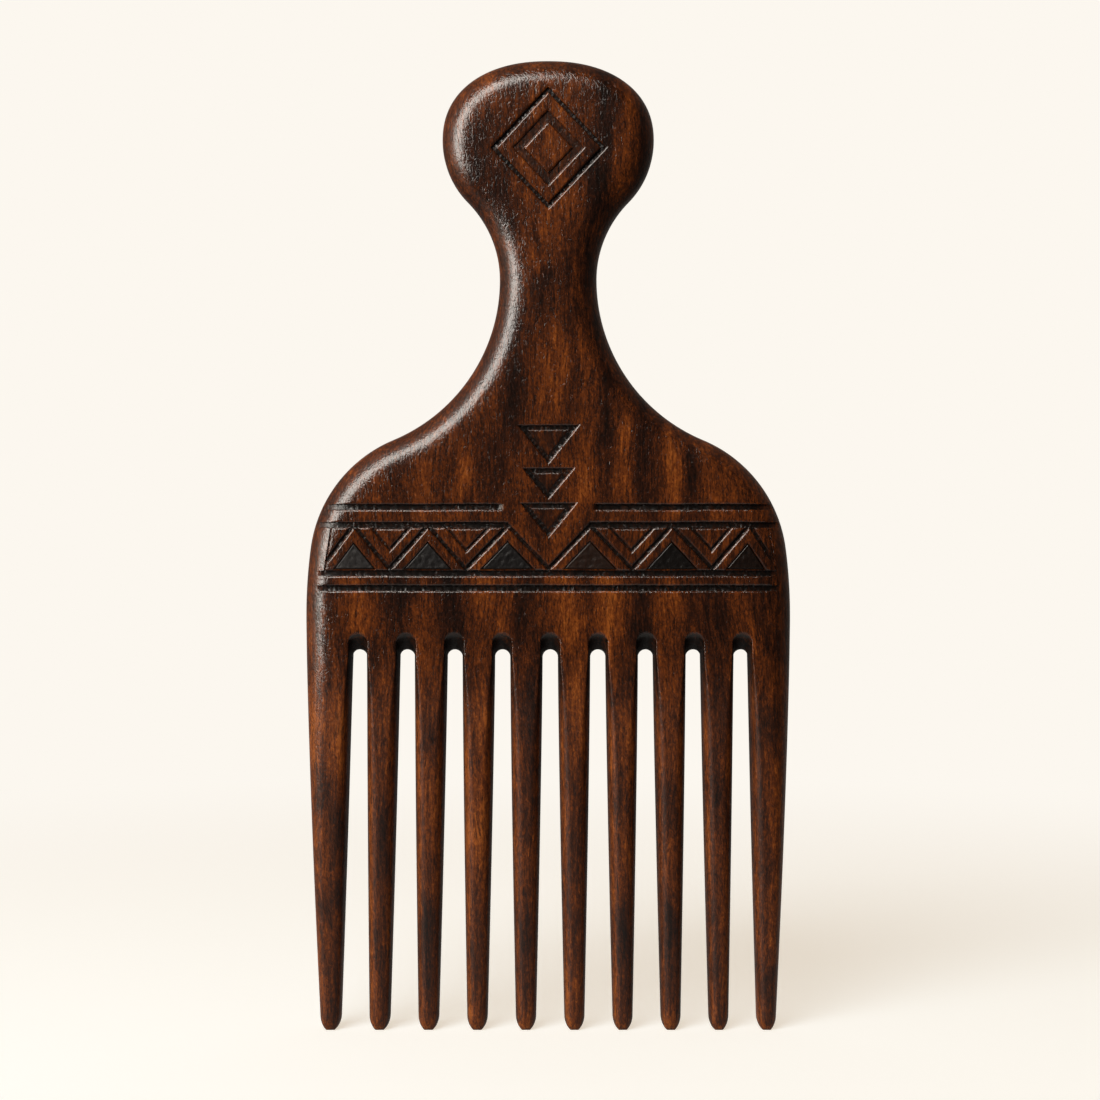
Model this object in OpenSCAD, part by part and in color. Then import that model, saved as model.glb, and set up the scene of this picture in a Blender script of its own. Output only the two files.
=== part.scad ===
// Wooden afro pick: a comb carved from one board, with six dark wood inlays.
// It stands on its tooth tips: x runs across, z up, and the carved front faces -y.

/* [Board] */
// Width across the widest part of the body
body_w = 95; // [88:1:108]
// Thickness of the board
thickness = 9; // [7:0.5:12]
// Width of the rounding around the front and back faces
rim_w = 5; // [2.5:0.1:5.6]
// Flat land left in the middle of the edge
edge_land = 1.2; // [0.6:0.1:2]

/* [Head and neck] */
// Width of the head
head_w = 41.5; // [38:0.5:44]
// Height of the dome above the widest part of the head
head_dome = 15.6; // [13:0.2:19]
// Height from the narrowest part of the neck to the widest part of the head
head_rise = 27.4; // [26:0.2:31]
// Height from the slot tops to the narrowest part of the neck
neck_rise = 72.5; // [69:0.5:80]
// Width of the neck
neck_w = 19; // [16:0.5:22]
// Radius of the hollow above the neck
neck_upper_r = 22; // [19:0.5:24]
// Radius of the hollow below the neck
neck_lower_r = 34; // [30:0.5:37]

/* [Sides] */
// Height above the slot tops at which the sides stand upright
side_rise = 7; // [6:0.5:12]
// Radius of the side above that height
side_r = 98; // [80:1:115]
// How far each side draws in on its way down to the tips
side_draw = 2.75; // [1.5:0.25:4]

/* [Teeth] */
// Number of teeth
tooth_count = 10; // [7:1:12]
// Length of the teeth, from the tips to the slot tops
tooth_length = 74.5; // [60:0.5:90]
// Width of a slot at its top
slot_w = 3; // [2:0.25:3.25]
// How far the row of slots sits to the right of the middle of the body
slot_shift = 0.4; // [0:0.1:0.6]
// Width of a tooth just above its rounded tip
tip_w = 4; // [3.4:0.2:4.4]
// Length of the rounded nose of a tooth
tip_nose = 2.75; // [2.4:0.05:3.5]
// How much shorter the nose is at the faces than in the middle of the board
tip_lift = 2; // [1:0.1:2.3]
// Thickness of a tooth at its tip
tip_thickness = 5.4; // [4:0.2:6.6]
// Size, from front to back, of the small flat that a tip stands on
tip_flat = 3.2; // [2.4:0.2:3.6]
// Rounding of the slot edges at the top of a tooth
root_round = 0.55; // [0.4:0.05:0.8]
// Rounding of the slot edges along the upper half of a tooth, reached a little below its top
tooth_round = 2.3; // [1.4:0.1:2.6]
// Rounding of the slot edges near the tip of a tooth
tip_round = 1.4; // [0.8:0.1:1.6]
// How far the slot end is hollowed upward towards the faces
gullet_rise = 3.2; // [2:0.1:4]

/* [Carved band] */
// Height of the lowest line above the slot tops
low_line_rise = 12.1; // [10:0.1:14]
// Distance from the lowest line to the bottom line of the zigzag band
low_line_gap = 2.9; // [2.2:0.1:3.4]
// Height of the zigzag band, from line to line
band_h = 9.4; // [9:0.1:10.5]
// Distance from the top line of the band to the upper line
high_line_gap = 3.5; // [2.8:0.1:4.2]
// Width of the opening between the two halves of the upper line
line_break = 17.4; // [15.5:0.2:20]
// Width of the straight lines
line_w = 1.5; // [1:0.05:1.7]
// Depth of the straight lines
line_depth = 0.7; // [0.4:0.05:1]
// Width of the zigzag, diamond and triangle grooves
groove_w = 1.1; // [0.8:0.05:1.2]
// Depth of the zigzag, diamond and triangle grooves
groove_depth = 0.6; // [0.3:0.05:0.8]
// Depth of the flat sunk grounds
ground_depth = 0.3; // [0.15:0.05:0.45]
// Width of the ridge between the zigzag groove and the triangles on either side of it
ridge_w = 1.45; // [1:0.05:1.6]

/* [Inlays] */
// Depth of the pockets
pocket_depth = 2.2; // [1.4:0.1:3]
// Width of the little groove round an inlay, at the face
moat_w = 0.4; // [0.3:0.05:0.6]
// Depth of the little groove round an inlay
moat_depth = 0.45; // [0.3:0.05:0.6]
// How far the inlays lie below the face
inlay_sink = 0.12; // [0:0.02:0.2]
// Gap between an inlay and the wall of its pocket
inlay_gap = 0.05; // [0.02:0.01:0.08]

/* [Head and neck carving] */
// Width of the diamond
diamond_w = 22.9; // [20:0.1:25]
// Height of the diamond
diamond_h = 24.2; // [21:0.1:26]
// Width of the ring inside the diamond groove, and of the channel inside that ring
diamond_step = 2; // [1.6:0.1:2.2]
// Height of the diamond's centre below the widest part of the head
diamond_drop = 2.1; // [0:0.1:3]
// Width of the middle one of the three hanging triangles
pendant_w = 10.7; // [9.6:0.1:12]
// Height of the middle one of the three hanging triangles
pendant_h = 6.3; // [5.8:0.1:7]
// Height of the top of the lowest hanging triangle above the upper line
pendant_rise = 0.9; // [0.4:0.1:1.4]
// Gap between the tip of one hanging triangle and the top of the next
pendant_gap = 0.5; // [0.3:0.1:1]

/* [Hidden] */

wood_colour = "#5a3018";
inlay_colour = "#26211f";

// The cuts run this far past the surfaces they open
overrun = 0.4;

// Steps of the rounded edge and of each stretch of the outline
rim_steps = 3;
dome_steps = 8;
head_steps = 6;
hollow_steps = 7;
shoulder_steps = 7;
side_steps = 2;
arch_steps = 8;
nose_steps = 4;
tooth_steps = 3;

// The dome of the head is a superellipse, a little squarer than an ellipse
dome_power = 2.22;
// The dome's first point lies this many degrees from its top
dome_start = 88;
// The nose ends in a small worn flat, left where its ellipse stops
nose_end = 64;
// How far the side leans when the shoulder's arc takes over from it
side_turn = 7.6;
// The sides and the slots bend gently, as powers of the way down
side_power = 1.35;
slot_power = 1.3;
// Pitch of the slots at their tops, as a share of the pitch at the tips
slot_pitch_share = 0.984;
// Power with which the rounding of the slot edges grows below the slot tops
round_power = 4;
// How much of the slot end's hollow runs evenly with its depth; the rest follows the rounding
gullet_even_share = 0.75;

// Turns of the zigzag: places across as shares of the body's width, and heights as shares of the band
turn_x_share = [
    -0.454, -0.399, -0.325, -0.247, -0.168, -0.083, 0.001, 0.086, 0.171, 0.253, 0.335, 0.412, 0.465
];
turn_z_share = [0.26, 1, 0.09, 1, 0.09, 1, 0.09, 1, 0.09, 1, 0.09, 1, 0.18];
// Top and bottom of the short cuts that end the band, across, as shares of the body's width
end_share = [0.446, 0.461];
// Widths and heights of the hanging triangles, lowest first, as shares of the middle one's
pendant_w_share = [1.07, 1, 1.165];
pendant_h_share = [1.11, 1, 1.25];
// Distance of the flat side of a sunk triangle from the band's top line, and of a pocket from its
// bottom line, as shares of the line's width
sunk_drop_share = 0.6;
pocket_lift_share = 0.4;

half_t = thickness / 2;
slot_top = tooth_length;
spring_z = slot_top - slot_w / 2;
taper_z = spring_z - slot_w;
side_z = slot_top + side_rise;
neck_z = slot_top + neck_rise;
head_z = neck_z + head_rise;
gullet_top = spring_z + gullet_rise + slot_w / 2 + root_round;
seam_z = (gullet_top + side_z) / 2;
widest_z = seam_z;

pitch = (body_w - 2 * side_draw - tip_w) / (tooth_count - 1);
slot_pitch = pitch * slot_pitch_share;
tip_half = (tooth_count - 1) / 2 * pitch + tip_w / 2;

low_line_z = slot_top + low_line_rise;
band_low_z = low_line_z + low_line_gap;
band_top_z = band_low_z + band_h;
high_line_z = band_top_z + high_line_gap;

// Centres and radii of the arcs, each tangent to the next
head_a = neck_w / 2 + neck_upper_r - head_w / 2;
head_r = (neck_upper_r ^ 2 - head_a ^ 2 - head_rise ^ 2) / (2 * (head_a - neck_upper_r));
head_c = [head_w / 2 - head_r, head_z];
upper_c = [neck_w / 2 + neck_upper_r, neck_z];
lower_c = [neck_w / 2 + neck_lower_r, neck_z];
side_c = [body_w / 2 - side_r, side_z];
side_dir = [cos(side_turn), sin(side_turn)];
side_gap = side_c + side_r * side_dir - lower_c;
shoulder_r = (side_gap * side_gap - neck_lower_r ^ 2) / (2 * (side_gap * side_dir + neck_lower_r));
shoulder_c = side_c + (side_r - shoulder_r) * side_dir;
head_turn = bearing(upper_c - head_c);
shoulder_turn = bearing(lower_c - shoulder_c);

function bearing(v) = atan2(v[1], v[0]);
function unit(v) = v / norm(v);
function blend(a, b, t) = a + (b - a) * t;
function reversed(list) = [for (i = [len(list) - 1:-1:0]) list[i]];
function mirrored(list) = [for (p = list) [-p[0], p[1]]];

// Points of an arc from angle a to angle b, its first point left out
function arc(centre, r, a, b, steps) =
    [for (i = [1:steps]) let (q = blend(a, b, i / steps)) centre + r * [cos(q), sin(q)]];

// A point of the dome, moved in by d along its normal
function dome_point(q, d) =
    let (
        c = cos(q) ^ (2 / dome_power),
        s = sin(q) ^ (2 / dome_power),
        normal = [c ^ (dome_power - 1) / (head_w / 2), s ^ (dome_power - 1) / head_dome]
    )
    [c * head_w / 2, head_z + s * head_dome] - d * unit(normal);

// How far down the teeth a height lies: 0 at the slot's spring, 1 at the noses
function way_down(z) = max(0, (spring_z - z) / (spring_z - tip_nose));

// Half the slot's width, its centre and the rounding of its edges at a height
function slot_half(z) = blend(slot_w / 2, (pitch - tip_w) / 2, way_down(z) ^ slot_power);
function slot_x(i, z) =
    let (place = i - tooth_count / 2, fade = (2 * place / tooth_count) ^ 2 * way_down(z))
    place * blend(slot_pitch, pitch, way_down(z)) + slot_shift * (1 - fade);
function slot_round(z) =
    let (grown = 1 - (1 - way_down(z)) ^ round_power)
    blend(root_round, blend(tooth_round, tip_round, way_down(z)), grown);

// The side of the body and of the outer tooth at a height, and its rounding
function side_x(z) = blend(body_w / 2, tip_half, max(0, (widest_z - z) / (widest_z - tip_nose)) ^ side_power);
function side_round(z) = blend(rim_w, tip_round, way_down(z));

// How far the slot's end has risen at g, the share of the rounding
function scoop(g) = gullet_rise * blend(g, sin(acos(1 - g)), gullet_even_share);

// Heights of the points down the side of a tooth; the first one rises with the slot's end
function stations(g) = concat(
    [spring_z + scoop(g)],
    [for (i = [0:tooth_steps]) blend(taper_z, tip_nose, i / tooth_steps)]
);

// Right half of the outline from the dome to the outer tooth's nose
function flank(g) =
    let (d = rim_w * g)
    concat(
        [for (i = [0:dome_steps]) dome_point(dome_start * (1 - i / dome_steps), d)],
        arc(head_c, head_r - d, 0, head_turn, head_steps),
        arc(upper_c, neck_upper_r + d, 180 + head_turn, 180, hollow_steps),
        arc(lower_c, neck_lower_r + d, 180, 180 + shoulder_turn, hollow_steps),
        arc(shoulder_c, shoulder_r - d, shoulder_turn, side_turn, shoulder_steps),
        arc(side_c, side_r - d, side_turn, 0, side_steps),
        [[body_w / 2 - d, seam_z]],
        [for (z = stations(g)) [side_x(z) - side_round(z) * g, z]]
    );

// The right and the left edge of tooth i at a height
function right_edge(i, z) = i == tooth_count ? side_x(z) : slot_x(i, z) - slot_half(z);
function left_edge(i, z) = i == 1 ? -side_x(z) : slot_x(i - 1, z) + slot_half(z);

// Right side of tooth i, going down, and its left side, also going down
function tooth_right(i, g) = [for (z = stations(g)) [right_edge(i, z) - slot_round(z) * g, z]];
function tooth_left(i, g) = [for (z = stations(g)) [left_edge(i, z) + slot_round(z) * g, z]];

// How far a tip has risen from its flat at g, the share of the rounding: a parabola towards the faces
function tip_rise(g) =
    let (y = blend(edge_land / 2, half_t, sin(acos(1 - g))) * tip_thickness / thickness)
    tip_lift * (max(0, 2 * y - tip_flat) / (tip_thickness - tip_flat)) ^ 2;

// Half of a tooth's nose, side 1 for the right and -1 for the left, going down
function nose(i, g, side) =
    let (left = left_edge(i, tip_nose), right = right_edge(i, tip_nose))
    [
        for (k = [1:nose_steps])
            let (q = nose_end * k / nose_steps)
            [
                (left + right) / 2 + side * ((right - left) / 2 - tip_round * g) * cos(q),
                tip_nose - (tip_nose - tip_rise(g)) * sin(q) / sin(nose_end)
            ]
    ];

// Rounded end of slot i, from its right spring over to its left one, both left out
function arch(i, g) =
    let (r = slot_w / 2 + root_round * g, z = spring_z + scoop(g))
    [for (k = [1:arch_steps - 1]) let (q = 180 * k / arch_steps) [slot_x(i, z) + r * cos(q), z + r * sin(q)]];

// The whole outline, clockwise as seen from the front
function outline(g) = concat(
    flank(g),
    nose(tooth_count, g, 1),
    [
        for (i = [tooth_count - 1:-1:1])
            each concat(
                reversed(nose(i + 1, g, -1)),
                reversed(tooth_left(i + 1, g)),
                arch(i, g),
                tooth_right(i, g),
                nose(i, g, 1)
            )
    ],
    reversed(nose(1, g, -1)),
    reversed(mirrored(flank(g)))
);

// Places in that list
flank_n = len(flank(0));
side_n = tooth_steps + 2;
seam_i = flank_n - side_n - 1;
tooth_n = 2 * (side_n + nose_steps) + arch_steps - 1;
loop_n = len(outline(0));

// Places of tooth i's points down its right side and down its left side, with the noses
function right_places(i) =
    let (start = i == tooth_count ? seam_i + 1 : flank_n + nose_steps + (tooth_count - 1 - i) * tooth_n
        + nose_steps + side_n + arch_steps - 1)
    [for (k = [0:side_n + nose_steps - 1]) start + k];
function left_places(i) =
    let (last = i == 1 ? loop_n - 1 - (seam_i + 1) : flank_n + nose_steps + (tooth_count - i) * tooth_n
        + nose_steps + side_n - 1)
    [for (k = [0:side_n + nose_steps - 1]) last - k];
function arch_place(i, k) =
    flank_n + nose_steps + (tooth_count - 1 - i) * tooth_n + nose_steps + side_n + k - 1;

// The board thins from the slots down to the tips
function thinning(z) =
    blend(1, tip_thickness / thickness, max(0, (taper_z - z) / taper_z));

// Flat triangles of the front face; hub i is an extra point on the seam above tooth i
function face_triangles(hub) =
    let (
        crown = arch_steps / 2,
        last = seam_i - 1,
        seam = concat([seam_i], [for (i = [tooth_count:-1:1]) hub + i], [loop_n - 1 - seam_i])
    )
    concat(
        // rows across the head, the neck and the body
        [for (j = [0:last - 1]) each let (a = loop_n - 1 - j) [[a, j, j + 1], [a, j + 1, a - 1]]],
        // the row that ends on the seam
        [[loop_n - 1 - last, last, seam_i]],
        [for (k = [0:len(seam) - 2]) [loop_n - 1 - last, seam[k], seam[k + 1]]],
        // from the seam over each slot
        [for (i = [1:tooth_count - 1]) [hub + i, hub + i + 1, arch_place(i, crown)]],
        // from the seam into each tooth
        [
            for (i = [1:tooth_count])
                each let (
                    down = i == tooth_count ? [seam_i] : [for (k = [crown:arch_steps - 1]) arch_place(i, k)],
                    up = i == 1 ? [loop_n - 1 - seam_i] : [for (k = [1:crown]) arch_place(i - 1, k)],
                    fan = concat(down, [right_places(i)[0], left_places(i)[0]], up)
                )
                [for (k = [0:len(fan) - 2]) [hub + i, fan[k], fan[k + 1]]]
        ],
        // rows down each tooth
        [
            for (i = [1:tooth_count])
                each let (r = right_places(i), l = left_places(i))
                [for (k = [0:len(r) - 2]) each [[l[k], r[k], r[k + 1]], [l[k], r[k + 1], l[k + 1]]]]
        ]
    );

// The board with its rounded edges, slots and teeth, as one skin of rings from front to back
module board() {
    sweep = concat(
        [for (i = [rim_steps:-1:0]) 90 * i / rim_steps],
        [for (i = [0:rim_steps]) -90 * i / rim_steps]
    );
    land = edge_land / 2;
    rings = [
        for (k = [0:len(sweep) - 1])
            let (
                q = sweep[k],
                side = k <= rim_steps ? -1 : 1,
                y = side * blend(land, half_t, abs(sin(q)))
            )
            for (p = outline(1 - cos(q))) [p[0], y * thinning(p[1]), p[1]]
    ];
    hubs = [
        for (side = [-1, 1])
            for (i = [1:tooth_count])
                [(i - (tooth_count + 1) / 2) * slot_pitch + slot_shift, side * half_t, seam_z]
    ];
    count = len(sweep);
    front = face_triangles(count * loop_n - 1);
    back = face_triangles(count * loop_n + tooth_count - 1);
    shift = (count - 1) * loop_n;
    polyhedron(
        points = concat(rings, hubs),
        faces = concat(
            front,
            [for (t = back) [for (v = reversed(t)) v < loop_n ? v + shift : v]],
            walls(count, loop_n)
        )
    );
}

// Triangles between loops of n points, clockwise as seen from the first loop
function walls(count, n, ring = false) = [
    for (k = [0:count - (ring ? 1 : 2)])
        for (i = [0:n - 1])
            let (a = k * n, b = ((k + 1) % count) * n, j = (i + 1) % n)
            each [[a + i, b + i, b + j], [a + i, b + j, a + j]]
];

// A place on the front face, sunk by a depth
function at_depth(place, depth) = [place[0], depth - half_t, place[1]];

// A cutter through the front face: each level is [distance in from the corners' outline, depth]
module cutter(corners, levels, ring = false) {
    n = len(corners);
    middle = incentre(corners);
    r = inradius(corners);
    points = [
        for (l = levels)
            for (c = corners) at_depth(blend(middle, c, 1 - l[0] / r), l[1])
    ];
    caps = ring ? [] : [[for (i = [0:n - 1]) i], [for (i = [n - 1:-1:0]) (len(levels) - 1) * n + i]];
    polyhedron(points = points, faces = concat(caps, walls(len(levels), n, ring)));
}

// Centre and radius of the circle inside a triangle or a diamond
function edge_lengths(c) = [for (i = [0:len(c) - 1]) norm(c[(i + 1) % len(c)] - c[i])];
function total(list, i = 0) = i < len(list) ? list[i] + total(list, i + 1) : 0;
function incentre(c) =
    let (e = edge_lengths(c))
    len(c) == 4 ? (c[0] + c[2]) / 2 : (e[1] * c[0] + e[2] * c[1] + e[0] * c[2]) / total(e);
function inradius(c) =
    let (m = incentre(c), v = c[1] - c[0], w = m - c[0]) abs(v[0] * w[1] - v[1] * w[0]) / norm(v);

function triangle_down(x, top, w, h) = [[x - w / 2, top], [x + w / 2, top], [x, top - h]];
function diamond(x, z, w, h) = [[x, z + h / 2], [x + w / 2, z], [x, z - h / 2], [x - w / 2, z]];

// The first level of a cutter, above the face on the slope of its outer wall
function above(run, depth) = [-run * overrun / depth, -overrun];

// A straight groove of V section between two places on the face
module groove(from, to, w, depth) {
    way = to - from;
    lip = w / 2 * (1 + overrun / depth);
    translate([from[0], -half_t, from[1]])
        rotate([0, atan2(way[0], way[1]), 0])
            linear_extrude(height = norm(way))
                polygon([[-lip, -overrun], [lip, -overrun], [0, depth]]);
}

module straight_line(from, to) groove(from, to, line_w, line_depth);

function turn(i) = [turn_x_share[i] * body_w, band_low_z + turn_z_share[i] * band_h];
peaks = [for (i = [1:2:len(turn_x_share) - 2]) i];
valleys = [for (i = [2:2:len(turn_x_share) - 3]) i];
middle_turn = (len(turn_x_share) - 1) / 2;

// A triangle nested in turn i of the zigzag, one ridge away from its groove and cut off at height z
function nested(i, z) =
    let (
        left = unit(turn(i - 1) - turn(i)),
        right = unit(turn(i + 1) - turn(i)),
        tip = turn(i) + unit(left + right) * (groove_w / 2 + ridge_w) / sqrt((1 - left * right) / 2),
        left_end = tip + left * (z - tip[1]) / left[1],
        right_end = tip + right * (z - tip[1]) / right[1]
    )
    left[1] < 0 ? [tip, right_end, left_end] : [tip, left_end, right_end];

// Corners of the pocket of inlay i, counted from the left
function pocket(i) = nested(peaks[i - 1], band_low_z + line_w * pocket_lift_share);

// The lines around the zigzag band; they run off the rounded edges
module band_lines() {
    edge = body_w / 2;
    inner = turn(middle_turn - 1)[0];
    outer = turn(middle_turn + 1)[0];
    for (z = [low_line_z, band_low_z]) straight_line([-edge, z], [edge, z]);
    straight_line([-edge, band_top_z], [inner, band_top_z]);
    straight_line([outer, band_top_z], [edge, band_top_z]);
    for (side = [-1, 1])
        straight_line(
            [min(side * edge, side * line_break / 2), high_line_z],
            [max(side * edge, side * line_break / 2), high_line_z]
        );
}

// Across the zigzag at turn i, stretched so that a groove keeps its width on both legs
function across(way) = [-way[1], way[0]];
function mitre(i) =
    let (
        a = max(i, 1),
        b = min(i, len(turn_x_share) - 2),
        normal = across(unit(turn(a) - turn(a - 1))),
        middle = unit(normal + across(unit(turn(b + 1) - turn(b))))
    )
    middle / (middle * normal);

// The zigzag is one groove of V section, mitred at its turns
module zigzag() {
    count = len(turn_x_share);
    lip = groove_w / 2 * (1 + overrun / groove_depth);
    polyhedron(
        points = [
            for (i = [0:count - 1])
                each [
                    at_depth(turn(i) + mitre(i) * lip, -overrun),
                    at_depth(turn(i) - mitre(i) * lip, -overrun),
                    at_depth(turn(i), groove_depth)
                ]
        ],
        faces = concat([[0, 1, 2]], walls(count, 3), [[3 * count - 1, 3 * count - 2, 3 * count - 3]])
    );
}

// Short cuts end the band along the rounded edges
module band_ends() {
    for (side = [-1, 1])
        groove(
            [side * end_share[0] * body_w, band_top_z],
            [side * end_share[1] * body_w, band_low_z],
            groove_w,
            ground_depth
        );
}

// The lowest hanging triangle takes the place of the middle one
module sunk_triangles() {
    for (i = valleys)
        if (i != middle_turn)
            cutter(
                nested(i, band_top_z - line_w * sunk_drop_share),
                [above(ground_depth, ground_depth), [ground_depth, ground_depth]]
            );
}

// The height of the top of hanging triangle i, counted from the lowest
function pendant_top(i) =
    i == 0 ? high_line_z + pendant_rise : pendant_top(i - 1) + pendant_gap + pendant_h * pendant_h_share[i];

module pendants() {
    for (i = [0:len(pendant_w_share) - 1])
        cutter(
            triangle_down(0, pendant_top(i), pendant_w * pendant_w_share[i], pendant_h * pendant_h_share[i]),
            [above(groove_w / 2, groove_depth), [groove_w / 2, groove_depth], [groove_w, ground_depth]]
        );
}

module head_diamond() {
    corners = diamond(0, head_z - diamond_drop, diamond_w, diamond_h);
    ring_in = groove_w + diamond_step;
    channel_in = ring_in + diamond_step;
    rise = above(groove_w / 2, groove_depth)[0];
    cutter(
        corners,
        [[rise, -overrun], [groove_w / 2, groove_depth], [groove_w - rise, -overrun]],
        ring = true
    );
    cutter(
        corners,
        [
            [ring_in - overrun, -overrun],
            [ring_in + ground_depth, ground_depth],
            [channel_in - ground_depth, ground_depth],
            [channel_in + overrun, -overrun]
        ],
        ring = true
    );
}

module pockets() {
    for (i = [1:len(peaks)])
        cutter(
            pocket(i),
            [above(moat_w / 2, moat_depth), [moat_w / 2, moat_depth], [moat_w / 2, pocket_depth]]
        );
}

module comb_body() {
    color(wood_colour) difference() {
        board();
        band_lines();
        zigzag();
        band_ends();
        sunk_triangles();
        pendants();
        head_diamond();
        pockets();
    }
}

// A triangular plate with bevelled top edges, seated on the floor of its pocket
module inlay(i) {
    wall = moat_w / 2 + inlay_gap;
    color(inlay_colour)
        cutter(pocket(i), [[moat_w, inlay_sink], [wall, moat_depth], [wall, pocket_depth]]);
}

comb_body();
inlay(1);  // inlay_1
inlay(2);  // inlay_2
inlay(3);  // inlay_3
inlay(4);  // inlay_4
inlay(5);  // inlay_5
inlay(6);  // inlay_6
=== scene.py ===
# A carved wooden afro pick: one board of dark rosewood, with six dark slips let into its band.
# It stands on its tooth tips. Shapes are worked out in millimetres and put into the meshes in metres.
import math

import bpy
import numpy as np
from mathutils import Matrix
from mathutils.geometry import delaunay_2d_cdt


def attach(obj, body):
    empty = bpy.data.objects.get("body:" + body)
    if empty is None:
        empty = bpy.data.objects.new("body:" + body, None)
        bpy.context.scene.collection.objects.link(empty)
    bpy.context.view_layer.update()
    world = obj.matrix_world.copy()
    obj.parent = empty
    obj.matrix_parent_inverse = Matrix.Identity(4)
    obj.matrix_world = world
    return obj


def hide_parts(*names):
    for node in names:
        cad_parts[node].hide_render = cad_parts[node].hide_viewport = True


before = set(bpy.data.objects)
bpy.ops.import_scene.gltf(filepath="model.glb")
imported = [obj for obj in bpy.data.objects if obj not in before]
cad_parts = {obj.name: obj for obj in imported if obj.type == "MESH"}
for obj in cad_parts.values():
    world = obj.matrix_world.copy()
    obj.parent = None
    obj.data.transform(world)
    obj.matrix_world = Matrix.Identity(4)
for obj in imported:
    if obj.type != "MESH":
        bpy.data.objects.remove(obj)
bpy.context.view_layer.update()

mm = 0.001

# The board's outline
comb = {
    "bodyWidth": 95.0,        # mm, as all lengths here
    "thickness": 9.0,
    "rimWidth": 5.0,          # rounding around the faces
    "edgeLand": 1.2,          # flat left in the middle of the edge
    "headWidth": 41.5,
    "headDome": 15.6,         # dome above the head's widest part
    "domePower": 2.22,        # 2 is an ellipse, more is squarer
    "domeStart": 89.4,        # degrees, short of 90 so that the two halves don't share their top point
    "headRise": 27.4,         # from the neck up to the head's widest part
    "neckRise": 72.5,         # from the slot tops up to the neck
    "neckWidth": 19.0,
    "neckUpperRadius": 22.0,
    "neckLowerRadius": 34.0,
    "sideRise": 7.0,
    "sideRadius": 98.0,
    "sideTurn": 7.6,          # degrees that the side leans where the shoulder starts
    "sideDraw": 2.75,         # how far a side draws in down to the tips
    "sidePower": 1.35,
    "toothCount": 10,
    "toothLength": 74.5,
    "slotWidth": 3.0,
    "slotShift": 0.4,         # the row of slots sits this far to the right of the middle
    "slotPower": 1.3,
    "slotPitchShare": 0.984,  # pitch at the slot tops over pitch at the tips
    "tipWidth": 4.0,
    "tipNose": 2.75,          # length of the rounded nose
    "noseEnd": 64.0,          # degrees at which the nose is worn flat
    "tipLift": 2.0,           # how much shorter the nose is at the faces
    "tipThickness": 5.4,
    "tipFlat": 3.2,           # worn flat that a tip stands on, front to back
    "rootRound": 0.55,        # rounding of the slot edges, at their top
    "toothRound": 2.9,        # along the upper teeth
    "tipRound": 1.75,         # at the tips
    "roundPower": 4,          # how soon below the slot tops that rounding is reached
    "gulletRise": 3.2,        # how far a slot's end is scooped up towards the faces
    "gulletEven": 0.75,       # how much of that scoop runs evenly with its depth
    "rimSteps": 12,           # rings across the rounding
    "crownDrop": 0.9,         # hands have rubbed the faces down towards the outer edge by this much
    "crownReach": 8.0,        # and from this far in
    "crownHeight": (30.0, 75.0),             # it fades out down the teeth between these heights
    "waves": ((0.03, 19.0, 1.3), (0.018, 7.0, 5.2)),  # unevenness of the faces: height, size, seed
    "waveReach": 5.0,         # that unevenness fades out towards the edge over this far
    "waveHeight": (8.0, 68.0),               # and down the teeth, to the share
    "waveShare": 0.15,        # that is left at the tips
}

halfThick = comb["thickness"] / 2
halfLand = comb["edgeLand"] / 2
slotTop = comb["toothLength"]
springZ = slotTop - comb["slotWidth"] / 2
taperZ = springZ - comb["slotWidth"]
sideZ = slotTop + comb["sideRise"]
neckZ = slotTop + comb["neckRise"]
headZ = neckZ + comb["headRise"]
gulletTop = springZ + comb["gulletRise"] + comb["slotWidth"] / 2 + comb["rootRound"]
seamZ = (gulletTop + sideZ) / 2
pitch = (comb["bodyWidth"] - 2 * comb["sideDraw"] - comb["tipWidth"]) / (comb["toothCount"] - 1)
tipHalf = (comb["toothCount"] - 1) / 2 * pitch + comb["tipWidth"] / 2


# A way of length 1: the vector over its own length
def unit(v):
    return v / np.linalg.norm(v)


# 0 up to a and 1 from b on, with a straight rise between; b may lie below a
def ramp(v, a, b):
    return np.clip((v - a) / (b - a), 0, 1)


# The head, the hollows, the shoulder and the side are arcs, each tangent to the next
headA = comb["neckWidth"] / 2 + comb["neckUpperRadius"] - comb["headWidth"] / 2
headR = (comb["neckUpperRadius"] ** 2 - headA ** 2 - comb["headRise"] ** 2) / (
    2 * (headA - comb["neckUpperRadius"]))
headC = np.array([comb["headWidth"] / 2 - headR, headZ])
upperC = np.array([comb["neckWidth"] / 2 + comb["neckUpperRadius"], neckZ])
lowerC = np.array([comb["neckWidth"] / 2 + comb["neckLowerRadius"], neckZ])
sideC = np.array([comb["bodyWidth"] / 2 - comb["sideRadius"], sideZ])
sideDir = np.array([math.cos(math.radians(comb["sideTurn"])), math.sin(math.radians(comb["sideTurn"]))])
sideGap = sideC + comb["sideRadius"] * sideDir - lowerC
shoulderR = (sideGap @ sideGap - comb["neckLowerRadius"] ** 2) / (
    2 * (sideGap @ sideDir + comb["neckLowerRadius"]))
shoulderC = sideC + (comb["sideRadius"] - shoulderR) * sideDir
headTurn = math.degrees(math.atan2(*(upperC - headC)[::-1]))
shoulderTurn = math.degrees(math.atan2(*(lowerC - shoulderC)[::-1]))


# Points of an arc from one angle to another, in degrees: centre plus radius times cosine and sine
def arcPoints(centre, radius, start, end, steps):
    q = np.radians(np.linspace(start, end, steps + 1)[1:])
    return centre + radius * np.column_stack([np.cos(q), np.sin(q)])


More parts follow.
